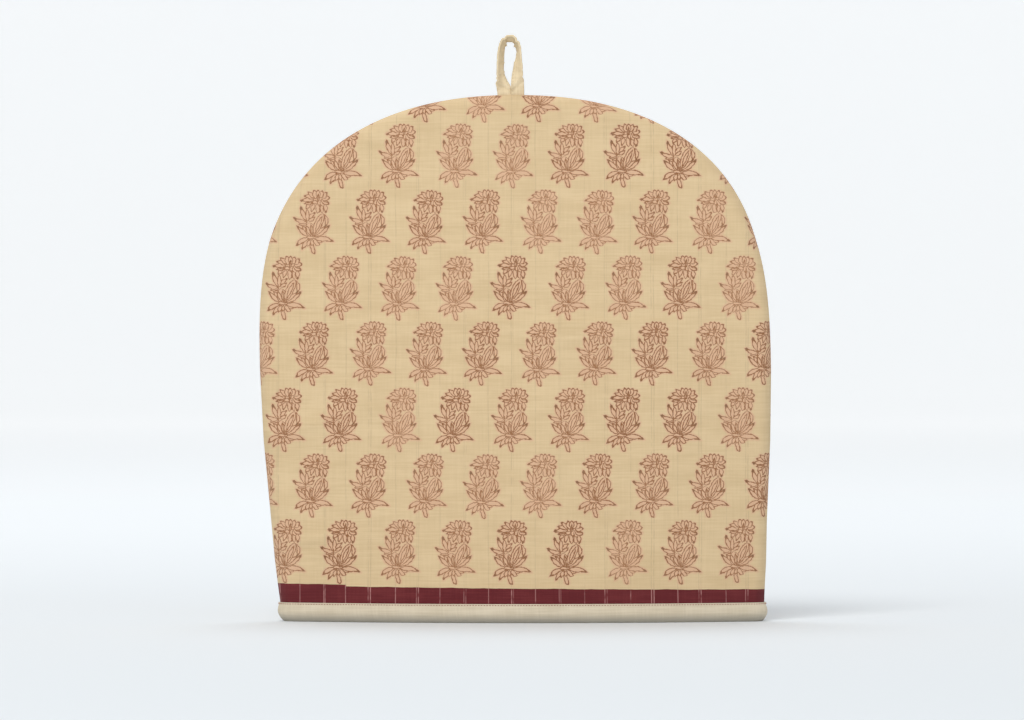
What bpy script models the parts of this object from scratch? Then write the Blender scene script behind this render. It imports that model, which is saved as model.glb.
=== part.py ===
"""Padded tea cosy: two printed walls, a hem binding and a hanging loop.

Metres, +Z up. It stands on its hem with its front to -Y, and the origin is on the table
below its middle. The seam that joins the two walls lies in the plane y = 0.
"""
import math

import bmesh
import bpy
from mathutils import Vector

# Outline of the walls, seen from the front
WIDEST = 0.1600            # half the width at the widest line
WIDEST_UP = 0.1570         # height of the widest line
DOME_RISE = 0.1720         # from the widest line to the top of the dome
DOME_POWER_X = 2.2         # (x / WIDEST) ** 2.2 + (rise / DOME_RISE) ** 3 = 1 is the dome
DOME_POWER_Z = 3.0
TOP = WIDEST_UP + DOME_RISE

# Half width below the widest line: height, half_width
SIDES = (
    (0.0000, 0.1506),
    (0.0130, 0.1516),
    (0.0380, 0.1538),
    (0.0630, 0.1552),
    (0.0880, 0.1569),
    (0.1130, 0.1586),
    (0.1570, 0.1600),
)

# Sideways lean of the whole outline, as uneven as hand sewing leaves it: height, lean
LEAN = (
    (0.0000, 0.0048),
    (0.0200, 0.0038),
    (0.0630, 0.0022),
    (0.1130, 0.0009),
    (0.1570, 0.0000),
    (0.2380, -0.0016),
    (0.2810, -0.0007),
    (0.3290, 0.0002),
)

# Padded walls
WALL = 0.0045              # thickness of cloth and wadding together
RIM_RADIUS = 0.0075        # rounding of the wall's edge towards the seam
HEM_SWELL = 0.0285         # how far the hem stands out beyond that rounding
SWELL_POWER = 1.5          # 1 closes the side view as a straight wedge, more is fuller
GAP = 0.0003               # clearance between pieces that touch
TRIM = 0.0015              # spare cloth below the hem line, cut off flat
ROOM = 0.25                # reach of the boxes that trim the walls

# Soft folds: x, height, turn (degrees), half_length, half_across, rise
FRONT_FOLDS = (
    (0.000, 0.188, 0, 0.150, 0.009, 0.0012),
    (0.066, 0.257, 12, 0.032, 0.008, 0.0012),
    (0.078, 0.303, -8, 0.018, 0.009, -0.0016),
    (-0.014, 0.309, 3, 0.028, 0.008, 0.0010),
    (-0.130, 0.121, 18, 0.030, 0.008, 0.0012),
    (-0.042, 0.107, -4, 0.016, 0.008, 0.0008),
    (-0.130, 0.050, 10, 0.024, 0.009, 0.0011),
)
BACK_FOLDS = (
    (0.020, 0.171, -4, 0.120, 0.010, 0.0012),
    (-0.074, 0.246, 22, 0.045, 0.009, 0.0013),
    (0.090, 0.082, -14, 0.042, 0.010, -0.0012),
)

# Hem binding: thickness at each side of the middle of the wall, and share of its height
BINDING_HEIGHT = 0.0119
BINDING_SLOT_UP = 0.0022   # height of the fold that the walls' lower edges stand in
BINDING_ROWS = (
    # outside, inside, share
    (0.0038, 0.0036, 1.00),
    (0.0045, 0.0040, 0.78),
    (0.0046, 0.0040, 0.50),
    (0.0041, 0.0037, 0.24),
    (0.0031, 0.0029, 0.07),
    (0.0019, 0.0019, 0.00),
)

# Grid of each wall: an inner sheet, then rings from its border out to the seam
SHEET_COLUMNS = 18
SHEET_ROWS = 20
SHEET_HALF_WIDTH = 0.106
SHEET_CORNER_UP = 0.206
SHEET_CROWN_UP = 0.240
PLAIN_RINGS = 4
RIM_STEPS = 4
OUTLINE_STEPS = 400        # straight pieces that the outline is measured along, for each side and quarter

# Hanging loop: folded tape along x, height above the top seam, turn of its face (degrees)
TAPE_WIDTH = 0.0080
TAPE_THICKNESS = 0.0018
TAPE_SIDES = 8
TAPE_SQUARENESS = 0.5      # 1 rounds the tape's section off, less squares it
TAPE_STEPS = 2             # rows of the mesh for each row of the table
LOOP_ROWS = (
    (-0.0077, -0.0043, 0),
    (-0.0077, 0.0010, 4),
    (-0.0085, 0.0055, 34),
    (-0.0092, 0.0120, 62),
    (-0.0093, 0.0200, 68),
    (-0.0085, 0.0270, 68),
    (-0.0062, 0.0325, 70),
    (-0.0028, 0.0350, 74),
    (0.0008, 0.0325, 74),
    (0.0028, 0.0265, 70),
    (0.0032, 0.0190, 64),
    (0.0025, 0.0120, 46),
    (0.0016, 0.0060, 18),
    (0.0013, 0.0010, 3),
    (0.0013, -0.0043, 0),
)
POCKET_DEPTH = 0.0060      # the opening in the seam that holds the tape's two ends

# Colours: name, base colour, roughness
PRINTED_COTTON = ("printed_cotton", (0.68, 0.54, 0.34, 1.0), 0.85)
CREAM_COTTON = ("cream_cotton", (0.62, 0.56, 0.44, 1.0), 0.85)
CREAM_TAPE = ("cream_tape", (0.66, 0.55, 0.38, 1.0), 0.85)


def between_rows(table, at):
    """Value of a two-column table at a height, straight from row to row."""
    if at <= table[0][0]:
        return table[0][1]
    for (low, first), (high, last) in zip(table, table[1:]):
        if at <= high:
            return first + (last - first) * (at - low) / (high - low)
    return table[-1][1]


def half_width(up):
    """Half the width of the outline at a height."""
    if up <= WIDEST_UP:
        return between_rows(SIDES, up)
    share = min(1.0, (up - WIDEST_UP) / DOME_RISE)
    return WIDEST * (1 - share ** DOME_POWER_Z) ** (1 / DOME_POWER_X)


def lean(up):
    """How far the middle of the outline is shifted to the right at a height."""
    return between_rows(LEAN, up)


def spaced_evenly(points, count):
    """count + 1 points at equal steps along a line of points."""
    travelled = [0.0]
    for before, after in zip(points, points[1:]):
        travelled.append(travelled[-1] + (after - before).length)
    spaced = []
    piece = 0
    for step in range(count + 1):
        target = travelled[-1] * step / count
        while piece < len(points) - 2 and travelled[piece + 1] < target:
            piece += 1
        along = (target - travelled[piece]) / (travelled[piece + 1] - travelled[piece])
        spaced.append(points[piece].lerp(points[piece + 1], along))
    return spaced


def outline(foot, count):
    """Points (x, height) up the left side, over the dome and down the right side."""
    left = []
    for step in range(OUTLINE_STEPS):
        up = foot + (WIDEST_UP - foot) * step / OUTLINE_STEPS
        left.append(Vector((-half_width(up), up)))
    for step in range(OUTLINE_STEPS + 1):
        angle = math.pi / 2 * step / OUTLINE_STEPS
        across = max(0.0, math.cos(angle)) ** (2 / DOME_POWER_X)
        rise = math.sin(angle) ** (2 / DOME_POWER_Z)
        left.append(Vector((-WIDEST * across, WIDEST_UP + DOME_RISE * rise)))
    right = [Vector((-point.x, point.y)) for point in reversed(left[:-1])]
    return spaced_evenly(left + right, count)


def inward(points, index):
    """Direction from the outline towards the middle of the wall; level below the dome."""
    here = points[index]
    if here.y <= WIDEST_UP:
        return Vector((-math.copysign(1.0, here.x), 0.0))
    along = (points[index + 1] - points[index - 1]).normalized()
    return Vector((along.y, -along.x))


def fold_relief(x, up, folds):
    """How far the soft folds lift or sink the cloth at one place."""
    total = 0.0
    for fold_x, fold_up, turn, half_length, half_across, rise in folds:
        angle = math.radians(turn)
        along = (x - fold_x) * math.cos(angle) + (up - fold_up) * math.sin(angle)
        across = (up - fold_up) * math.cos(angle) - (x - fold_x) * math.sin(angle)
        total += rise * math.exp(-(across / half_across) ** 2 - (along / half_length) ** 4)
    return total


def swell(x, up):
    """How far the wall stands out beyond its rounded rim."""
    room = max(half_width(up), RIM_RADIUS)
    fullness = max(0.0, 1 - (x / room) ** 2)
    return HEM_SWELL * (1 - (up / TOP) ** SWELL_POWER) * fullness


def wall_point(x, up, rim_angle, folds, side):
    """A point of the outer face. rim_angle is 0 at the seam and 90 degrees past the rim."""
    rise = math.sin(rim_angle)
    depth = RIM_RADIUS * rise + swell(x, up) + rise * fold_relief(x, up, folds)
    return Vector((x + lean(up), side * depth, up))


def sheet_place(column, row, foot):
    """(x, height) of a point of the inner sheet."""
    across = 2 * column / SHEET_COLUMNS - 1
    height = SHEET_CROWN_UP - (SHEET_CROWN_UP - SHEET_CORNER_UP) * across ** 2 - foot
    return Vector((SHEET_HALF_WIDTH * across, foot + height * row / SHEET_ROWS))


def border_places(foot):
    """(x, height) along the inner sheet's border, up its left side, across and down."""
    left = [sheet_place(0, row, foot) for row in range(SHEET_ROWS)]
    across = [sheet_place(column, SHEET_ROWS, foot) for column in range(SHEET_COLUMNS + 1)]
    right = [sheet_place(SHEET_COLUMNS, row, foot) for row in reversed(range(SHEET_ROWS))]
    return left + across + right


def ring_places(foot):
    """Rings of (x, height, rim_angle) from the inner sheet's border out to the seam."""
    border = border_places(foot)
    edge = outline(foot, len(border) - 1)
    facing = [inward(edge, index) for index in range(len(edge))]
    rings = []
    for ring in range(1, PLAIN_RINGS + 1):
        share = ring / PLAIN_RINGS
        rings.append([
            (*start.lerp(end + to_middle * RIM_RADIUS, share), math.pi / 2)
            for start, end, to_middle in zip(border, edge, facing)
        ])
    for step in range(RIM_STEPS - 1, -1, -1):
        angle = math.pi / 2 * step / RIM_STEPS
        inset = RIM_RADIUS * (1 - math.cos(angle))
        rings.append([
            (*(end + to_middle * inset), angle) for end, to_middle in zip(edge, facing)
        ])
    return rings


def wall_skin(side, folds, foot):
    """The outer face of one wall, from the hem to just past the seam plane."""
    bm = bmesh.new()
    bmesh.ops.create_grid(bm, x_segments=SHEET_COLUMNS, y_segments=SHEET_ROWS, size=0.5)
    grid = {}
    for vert in bm.verts:
        column = round((vert.co.x + 0.5) * SHEET_COLUMNS)
        row = round((vert.co.y + 0.5) * SHEET_ROWS)
        grid[column, row] = vert
    for (column, row), vert in grid.items():
        x, up = sheet_place(column, row, foot)
        vert.co = wall_point(x, up, math.pi / 2, folds, side)

    border = [grid[0, row] for row in range(SHEET_ROWS)]
    border += [grid[column, SHEET_ROWS] for column in range(SHEET_COLUMNS + 1)]
    border += [grid[SHEET_COLUMNS, row] for row in reversed(range(SHEET_ROWS))]
    for ring in ring_places(foot):
        border = extrude_line(bm, border)
        for vert, (x, up, rim_angle) in zip(border, ring):
            vert.co = wall_point(x, up, rim_angle, folds, side)
    border = extrude_line(bm, border)
    for vert in border:
        vert.co.y -= side * WALL
    if side > 0:
        bmesh.ops.reverse_faces(bm, faces=bm.faces)
    return bm


def extrude_line(bm, verts, closed=False):
    """Extrude a line of verts and return the new line in the same order."""
    pairs = list(zip(verts, verts[1:] + verts[:1])) if closed else list(zip(verts, verts[1:]))
    edges = [bm.edges.get(pair) for pair in pairs]
    made = bmesh.ops.extrude_edge_only(bm, edges=edges)["geom"]
    new_verts = {item for item in made if isinstance(item, bmesh.types.BMVert)}
    after = []
    for vert in verts:
        partner = next(
            edge.other_vert(vert) for edge in vert.link_edges if edge.other_vert(vert) in new_verts
        )
        after.append(partner)
    return after


def made_object(name, bm, collection, finish=None):
    """A named object from a bmesh, with its own material."""
    mesh = bpy.data.meshes.new(name)
    bm.to_mesh(mesh)
    bm.free()
    made = bpy.data.objects.new(name, mesh)
    collection.objects.link(made)
    if finish:
        title, colour, roughness = finish
        material = bpy.data.materials.new(title)
        material.use_nodes = True
        shader = material.node_tree.nodes["Principled BSDF"]
        shader.inputs["Base Color"].default_value = colour
        shader.inputs["Roughness"].default_value = roughness
        shader.inputs["Metallic"].default_value = 0.0
        mesh.materials.append(material)
    return made


def hem_line(up):
    """The outer face of both walls at one height, as a closed line: front, then back."""
    rings = ring_places(up)
    sheet = [(*sheet_place(column, 0, up), math.pi / 2) for column in range(SHEET_COLUMNS + 1)]
    across = [ring[0] for ring in reversed(rings)] + sheet + [ring[-1] for ring in rings]
    front = [wall_point(x, up, angle, FRONT_FOLDS, -1) for x, _, angle in across]
    back = [wall_point(x, up, angle, BACK_FOLDS, 1) for x, _, angle in reversed(across[1:-1])]
    return front + back


def moved_out(line, distance):
    """A closed level line moved outwards, with its corners kept at the full distance."""
    moved = []
    for index, here in enumerate(line):
        before = (here - line[index - 1]).normalized()
        after = (line[(index + 1) % len(line)] - here).normalized()
        first = Vector((before.y, -before.x, 0.0))
        second = Vector((after.y, -after.x, 0.0))
        middle = (first + second).normalized()
        moved.append(here + middle * distance / middle.dot(first))
    return moved


def binding_section():
    """The binding's closed cross section: (distance out from the middle of the wall, height)."""
    outside = [(out, share * BINDING_HEIGHT) for out, _, share in BINDING_ROWS]
    inside = [(-back, share * BINDING_HEIGHT) for _, back, share in reversed(BINDING_ROWS)]
    slot = WALL / 2 + GAP
    return outside + inside + [
        (-slot, BINDING_HEIGHT),
        (-slot, BINDING_SLOT_UP),
        (slot, BINDING_SLOT_UP),
        (slot, BINDING_HEIGHT),
    ]


def hem_binding():
    """The cream strip folded round the lower edge, as one ring with a slot for the walls."""
    rings = [moved_out(hem_line(up), out - WALL / 2) for out, up in binding_section()]
    bm = bmesh.new()
    first = bmesh.ops.create_circle(bm, segments=len(rings[0]))["verts"]
    line = first
    for number, ring in enumerate(rings):
        if number:
            line = extrude_line(bm, line, closed=True)
        for vert, place in zip(line, ring):
            vert.co = place
    ends = []
    for loop in (first, line):
        ends += [bm.edges.get(pair) for pair in zip(loop, loop[1:] + loop[:1])]
    bmesh.ops.bridge_loops(bm, edges=ends)
    bmesh.ops.recalc_face_normals(bm, faces=bm.faces)
    return bm


def loop_path():
    """Rows (place, turn) along the tape, smoothed through the rows of the table."""
    rows = [Vector((x, TOP + above, math.radians(turn))) for x, above, turn in LOOP_ROWS]
    path = []
    for index in range(len(rows) - 1):
        before = rows[max(index - 1, 0)]
        start, end = rows[index], rows[index + 1]
        after = rows[min(index + 2, len(rows) - 1)]
        for step in range(TAPE_STEPS):
            t = step / TAPE_STEPS
            path.append(0.5 * (
                2 * start
                + (end - before) * t
                + (2 * before - 5 * start + 4 * end - after) * t ** 2
                + (3 * start - before - 3 * end + after) * t ** 3
            ))
    path.append(rows[-1])
    return [(Vector((point.x, 0.0, point.y)), point.z) for point in path]


def hanging_loop():
    """The folded tape: face on where it is sewn in, turned nearly edge on over the top."""
    path = loop_path()
    bm = bmesh.new()
    line = bmesh.ops.create_circle(bm, segments=TAPE_SIDES, cap_ends=True)["verts"]
    for number, (place, turn) in enumerate(path):
        if number:
            line = extrude_line(bm, line, closed=True)
        behind = path[max(number - 1, 0)][0]
        ahead = path[min(number + 1, len(path) - 1)][0]
        along = (ahead - behind).normalized()
        in_plane = Vector((along.z, 0.0, -along.x))
        wide = in_plane * math.cos(turn) + Vector((0.0, math.sin(turn), 0.0))
        thick = along.cross(wide)
        for corner, vert in enumerate(line):
            angle = 2 * math.pi * (corner + 0.5) / TAPE_SIDES
            out = math.copysign(abs(math.cos(angle)) ** TAPE_SQUARENESS, math.cos(angle))
            up = math.copysign(abs(math.sin(angle)) ** TAPE_SQUARENESS, math.sin(angle))
            vert.co = place + wide * out * TAPE_WIDTH / 2 + thick * up * TAPE_THICKNESS / 2
    bmesh.ops.contextual_create(bm, geom=line)
    bmesh.ops.recalc_face_normals(bm, faces=bm.faces)
    return bm


def box_cutter(name, low, high, collection):
    """A box used only to trim other pieces."""
    bm = bmesh.new()
    bmesh.ops.create_cube(bm, size=1.0)
    low, high = Vector(low), Vector(high)
    for vert in bm.verts:
        share = vert.co + Vector((0.5, 0.5, 0.5))
        vert.co = low + Vector(a * b for a, b in zip(high - low, share))
    cutter = made_object(name, bm, collection)
    cutter.hide_render = True
    cutter.display_type = "WIRE"
    return cutter


def wall(name, side, folds, finish, pieces, cutters, pocket):
    """One padded wall, trimmed to its own side of the seam and to the fold of the binding."""
    foot = BINDING_SLOT_UP + GAP
    made = made_object(name, wall_skin(side, folds, foot - TRIM), pieces, finish)
    padding = made.modifiers.new("padding", "SOLIDIFY")
    padding.thickness = WALL
    padding.offset = -1.0
    padding.use_even_offset = True
    near, far = sorted((side * GAP / 2, side * ROOM))
    room = box_cutter(name + "_room", (-ROOM, near, foot), (ROOM, far, 2 * ROOM), cutters)
    for title, operation, tool in (("trim", "INTERSECT", room), ("pocket", "DIFFERENCE", pocket)):
        cut = made.modifiers.new(title, "BOOLEAN")
        cut.operation = operation
        cut.solver = "EXACT"
        cut.object = tool
    return made


def main():
    for old in list(bpy.data.objects):
        bpy.data.objects.remove(old, do_unlink=True)
    pieces = bpy.data.collections.new("tea_cosy")
    cutters = bpy.data.collections.new("cutters")
    for collection in (pieces, cutters):
        bpy.context.scene.collection.children.link(collection)

    left = LOOP_ROWS[0][0] - TAPE_WIDTH / 2 - GAP
    right = LOOP_ROWS[-1][0] + TAPE_WIDTH / 2 + GAP
    deep = TAPE_THICKNESS / 2 + GAP
    pocket = box_cutter(
        "loop_pocket", (left, -deep, TOP - POCKET_DEPTH), (right, deep, TOP + POCKET_DEPTH), cutters
    )
    wall("front_wall", -1, FRONT_FOLDS, PRINTED_COTTON, pieces, cutters, pocket)
    wall("back_wall", 1, BACK_FOLDS, PRINTED_COTTON, pieces, cutters, pocket)
    made_object("hem_binding", hem_binding(), pieces, CREAM_COTTON)
    made_object("hanging_loop", hanging_loop(), pieces, CREAM_TAPE)


main()
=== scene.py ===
# %% [markdown]
# # A padded tea cosy in block-printed cotton
# A tea cosy is a padded hood that keeps a teapot warm. This one is two dome-shaped wadded walls
# sewn together over the top, with a cream strip bound round the hem and a loop of folded tape.
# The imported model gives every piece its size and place, so this script only has to dress it:
# finer cloth, the print, the sewing, a floor, lights and a camera. Lengths are in metres, +Z is
# up, the front faces -Y and the seam between the walls lies in the plane y = 0.

# %% Load the frame
import math
from functools import partial

import bmesh
import bpy
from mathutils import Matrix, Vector, noise


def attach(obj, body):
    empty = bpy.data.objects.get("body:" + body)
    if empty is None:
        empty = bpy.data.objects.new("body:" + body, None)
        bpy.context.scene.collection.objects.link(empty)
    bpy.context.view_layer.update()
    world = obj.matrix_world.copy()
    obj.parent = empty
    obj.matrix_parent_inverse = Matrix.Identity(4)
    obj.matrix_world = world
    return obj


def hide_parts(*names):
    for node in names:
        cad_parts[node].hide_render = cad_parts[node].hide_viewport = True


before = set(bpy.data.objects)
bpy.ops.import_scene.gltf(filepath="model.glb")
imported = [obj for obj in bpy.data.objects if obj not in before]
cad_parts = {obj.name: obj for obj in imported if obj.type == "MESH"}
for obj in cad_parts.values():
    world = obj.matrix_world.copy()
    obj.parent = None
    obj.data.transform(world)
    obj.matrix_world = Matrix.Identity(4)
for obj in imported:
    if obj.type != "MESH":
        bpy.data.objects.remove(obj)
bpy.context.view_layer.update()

scene = bpy.context.scene

# %% [markdown]
# ## The camera
# The cloth is seen square on, so the camera stands far away with a long lens. A long lens keeps
# the hem almost straight, as a near camera would curve it. The view is worked out from the width
# of cloth that has to fit the picture, and the picture's size is 1024 by 720.

# %% Camera
VIEW_WIDTH = 0.640          # width of the view at the seam, for a picture 1024 across
VIEW_CENTRE = Vector((-0.0022, 0.0, 0.1631))
VIEW_DISTANCE = 6.0
VIEW_ELEVATION = math.radians(0.8)
SENSOR = 36.0

camera_data = bpy.data.cameras.new("camera")
camera_data.sensor_width = SENSOR
camera_data.lens = SENSOR * VIEW_DISTANCE / VIEW_WIDTH
camera_data.clip_end = 60.0
camera = bpy.data.objects.new("camera", camera_data)
scene.collection.objects.link(camera)
towards_camera = Vector((0.0, -math.cos(VIEW_ELEVATION), math.sin(VIEW_ELEVATION)))
camera.location = VIEW_CENTRE + towards_camera * VIEW_DISTANCE
camera.rotation_mode = "QUATERNION"
camera.rotation_quaternion = (-towards_camera).to_track_quat("-Z", "Y")
scene.camera = camera
print("lens", round(camera_data.lens, 1), "mm at", VIEW_DISTANCE, "m")

# %% [markdown]
# ## Measures of the walls
# Both walls share one outline: nearly straight sides and a broad, rather flat dome. A short table
# gives the sides and one formula gives the dome, the same as in the solids, so the fine cloth lies
# exactly where the solids are. Each wall bulges most at the hem, where the pot pushes it out.

# %% Outline
WIDEST = 0.1600
WIDEST_UP = 0.1570
DOME_RISE = 0.1720
DOME_POWER_X = 2.2
DOME_POWER_Z = 3.0
TOP = WIDEST_UP + DOME_RISE
SIDES = (
    # height, half width
    (0.0000, 0.1506),
    (0.0130, 0.1516),
    (0.0380, 0.1538),
    (0.0630, 0.1552),
    (0.0880, 0.1569),
    (0.1130, 0.1586),
    (0.1570, 0.1600),
)
LEAN = (
    # height, shift to the right
    (0.0000, 0.0048),
    (0.0200, 0.0038),
    (0.0630, 0.0022),
    (0.1130, 0.0009),
    (0.1570, 0.0000),
    (0.2380, -0.0016),
    (0.2810, -0.0007),
    (0.3290, 0.0002),
)
OUTLINE_STEPS = 500         # short pieces that each side and each quarter of the dome is measured in


def between_rows(table, at):
    """Value of a two-column table, straight from row to row."""
    if at <= table[0][0]:
        return table[0][1]
    for (low, first), (high, last) in zip(table, table[1:]):
        if at <= high:
            return first + (last - first) * (at - low) / (high - low)
    return table[-1][1]


def half_width(up):
    """Half the width of the outline at a height."""
    if up <= WIDEST_UP:
        return between_rows(SIDES, up)
    share = min(1.0, (up - WIDEST_UP) / DOME_RISE)
    return WIDEST * (1 - share ** DOME_POWER_Z) ** (1 / DOME_POWER_X)


def lean(up):
    """How far the outline is shifted to the right at a height."""
    return between_rows(LEAN, up)


def spaced_evenly(points, count):
    """count + 1 points at equal steps along a line of points."""
    travelled = [0.0]
    for before, after in zip(points, points[1:]):
        travelled.append(travelled[-1] + (after - before).length)
    spaced = []
    piece = 0
    for step in range(count + 1):
        target = travelled[-1] * step / count
        while piece < len(points) - 2 and travelled[piece + 1] < target:
            piece += 1
        along = (target - travelled[piece]) / (travelled[piece + 1] - travelled[piece])
        spaced.append(points[piece].lerp(points[piece + 1], along))
    return spaced


def outline(foot, count):
    """Points (x, height) up the left side, over the dome and down the right side."""
    left = []
    for step in range(OUTLINE_STEPS):
        up = foot + (WIDEST_UP - foot) * step / OUTLINE_STEPS
        left.append(Vector((-half_width(up), up)))
    for step in range(OUTLINE_STEPS + 1):
        angle = math.pi / 2 * step / OUTLINE_STEPS
        across = max(0.0, math.cos(angle)) ** (2 / DOME_POWER_X)
        rise = math.sin(angle) ** (2 / DOME_POWER_Z)
        left.append(Vector((-WIDEST * across, WIDEST_UP + DOME_RISE * rise)))
    right = [Vector((-point.x, point.y)) for point in reversed(left[:-1])]
    return spaced_evenly(left + right, count)


def inward(points, index):
    """Direction from the outline towards the middle of the wall; level below the dome."""
    here = points[index]
    if here.y <= WIDEST_UP:
        return Vector((-math.copysign(1.0, here.x), 0.0))
    along = (points[index + 1] - points[index - 1]).normalized()
    return Vector((along.y, -along.x))


print("dome", round(2000 * WIDEST), "mm wide and", round(1000 * TOP), "mm high")

# %% [markdown]
# ## Folds, creases and the swell of the wadding
# Wadded cloth is never flat. A few broad folds are in the solids too. The finer ones, such as the
# straight crease left by folding the cosy in half, are added here as short ridges and troughs.
# Smooth noise gives the small hills of the wadding, and fades out where the cloth is held tight.

# %% Relief of the cloth
WALL = 0.0045
RIM_RADIUS = 0.0075
HEM_SWELL = 0.0285
SWELL_POWER = 1.5
FRONT, BACK = -1, 1
ACROSS_REACH, ALONG_REACH = 3.2, 1.6     # a fold is nothing beyond this many of its half sizes
FOLDS = {
    # x, height, turn (degrees), half length, half across, rise
    FRONT: (
        (0.000, 0.180, 0, 0.150, 0.0080, 0.0012),
        (0.066, 0.257, 12, 0.032, 0.0080, 0.0012),
        (0.078, 0.303, -8, 0.018, 0.0090, -0.0016),
        (-0.014, 0.309, 3, 0.028, 0.0080, 0.0010),
        (-0.130, 0.121, 18, 0.030, 0.0080, 0.0012),
        (-0.042, 0.107, -4, 0.016, 0.0080, 0.0008),
        (-0.130, 0.050, 10, 0.024, 0.0090, 0.0011),
    ),
    BACK: (
        (0.020, 0.171, -4, 0.120, 0.0100, 0.0012),
        (-0.074, 0.246, 22, 0.045, 0.0090, 0.0013),
        (0.090, 0.082, -14, 0.042, 0.0100, -0.0012),
    ),
}
CREASES = {
    FRONT: (
        (-0.014, 0.3130, 4, 0.027, 0.0019, 0.00082),
        (-0.012, 0.3055, 3, 0.022, 0.0019, 0.00075),
        (-0.013, 0.3092, 4, 0.025, 0.0017, -0.00075),
        (-0.020, 0.1868, 0, 0.140, 0.0020, 0.00095),
        (0.072, 0.2565, 12, 0.030, 0.0022, 0.00075),
        (0.078, 0.3010, -14, 0.016, 0.0022, -0.00090),
        (-0.132, 0.1215, 19, 0.026, 0.0022, 0.00075),
        (-0.043, 0.1065, -5, 0.014, 0.0020, 0.00060),
        (-0.131, 0.0515, 12, 0.020, 0.0020, 0.00075),
        (-0.128, 0.0460, 8, 0.018, 0.0022, -0.00075),
        (0.118, 0.1390, -24, 0.022, 0.0030, 0.00045),
        (0.030, 0.0720, 6, 0.030, 0.0035, 0.00038),
    ),
    BACK: (
        (0.020, 0.1710, -4, 0.125, 0.0021, 0.00045),
        (-0.074, 0.2460, 22, 0.040, 0.0022, 0.00050),
        (0.090, 0.0820, -14, 0.036, 0.0024, -0.00055),
        (-0.020, 0.3060, 5, 0.034, 0.0020, 0.00045),
        (0.110, 0.2130, -30, 0.026, 0.0026, 0.00035),
        (-0.118, 0.1180, 15, 0.028, 0.0024, 0.00040),
    ),
}
HILLS = (
    # height, hills per metre across and up
    (0.00042, 26.0, 26.0),
    (0.00034, 16.0, 92.0),
    (0.00020, 62.0, 62.0),
    (0.00008, 60.0, 190.0),
)
HILLS_APART = 9.7           # far enough apart in the noise for each side to have its own hills
HELD_UP = (0.012, 0.034)    # the hills grow between these heights, above the tight hem
PUCKER_RISE = 0.00034
PUCKERS_PER_METRE = 120.0
PUCKERS_APART = 3.1
PUCKER_POWER = 6            # more keeps the puckers closer to the seam


def relief_of(rows, x, up):
    """Sum of long narrow ridges and troughs at one place."""
    total = 0.0
    for row_x, row_up, turn, half_length, half_across, rise in rows:
        angle = math.radians(turn)
        along = (x - row_x) * math.cos(angle) + (up - row_up) * math.sin(angle)
        across = (up - row_up) * math.cos(angle) - (x - row_x) * math.sin(angle)
        if abs(across) < ACROSS_REACH * half_across and abs(along) < ALONG_REACH * half_length:
            total += rise * math.exp(-(across / half_across) ** 2 - (along / half_length) ** 4)
    return total


def smooth_between(low, high, value):
    """0 below low, 1 above high and a smooth rise between them."""
    share = min(1.0, max(0.0, (value - low) / (high - low)))
    return share * share * (3 - 2 * share)


def hills(x, up, side):
    """Small uneven hills of the wadding."""
    total = 0.0
    for rise, across, upwards in HILLS:
        total += rise * noise.noise(Vector((x * across, up * upwards, HILLS_APART * side)))
    return total * smooth_between(*HELD_UP, up)


def swell(x, up):
    """How far the wall stands out beyond its rounded rim."""
    room = max(half_width(up), RIM_RADIUS)
    fullness = max(0.0, 1 - (x / room) ** 2)
    return HEM_SWELL * (1 - (up / TOP) ** SWELL_POWER) * fullness


print("folds", len(FOLDS[FRONT]) + len(FOLDS[BACK]), "creases", len(CREASES[FRONT]) + len(CREASES[BACK]))

# %% [markdown]
# ## Weaving the wall's grid
# The dome has no corner, so a plain grid would pinch somewhere along its edge. An inner sheet of
# even squares fills the middle, and rings run from its border out to the seam. The last rings
# turn over the rounded rim and dip into the seam, as sewn and turned cloth does. Every ring is
# one extrusion of the ring before it, and the new points are then placed by the formulas.

# %% Grid of a wall
GAP = 0.0003
FOOT = 0.0022 + GAP         # the walls' lower edge, in the fold of the binding
SHEET_COLUMNS = 108
SHEET_ROWS = 120
SHEET_HALF_WIDTH = 0.106
SHEET_CORNER_UP = 0.206
SHEET_CROWN_UP = 0.240
PLAIN_RINGS = 22
RIM_STEPS = 14
RIM_CROWDING = 1.5          # more than 1 puts the rim's rings closer together near the seam
SEAM_DIP = 0.0011
SEAM_DIP_WIDTH = 0.0011
LOOP_OPENING = (-0.0034, 0.0094)    # middle and half width of the stretch of seam that holds the loop
LOOP_HALF_THICKNESS = 0.0008
LOOP_ROOM_UP = 0.3180
LOOP_ROOM_EASE = (0.005, 0.006)     # the opening closes over these lengths, beside and below


def sheet_place(column, row):
    """(x, height) of a point of the inner sheet."""
    across = 2 * column / SHEET_COLUMNS - 1
    height = SHEET_CROWN_UP - (SHEET_CROWN_UP - SHEET_CORNER_UP) * across ** 2 - FOOT
    return Vector((SHEET_HALF_WIDTH * across, FOOT + height * row / SHEET_ROWS))


def seam_room(x, up):
    """Half the opening of the seam: a hair, and more where the loop is sewn in."""
    middle, half = LOOP_OPENING
    beside = 1 - smooth_between(half, half + LOOP_ROOM_EASE[0], abs(x - middle))
    above = smooth_between(LOOP_ROOM_UP - LOOP_ROOM_EASE[1], LOOP_ROOM_UP, up)
    return GAP / 2 + LOOP_HALF_THICKNESS * beside * above


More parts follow.
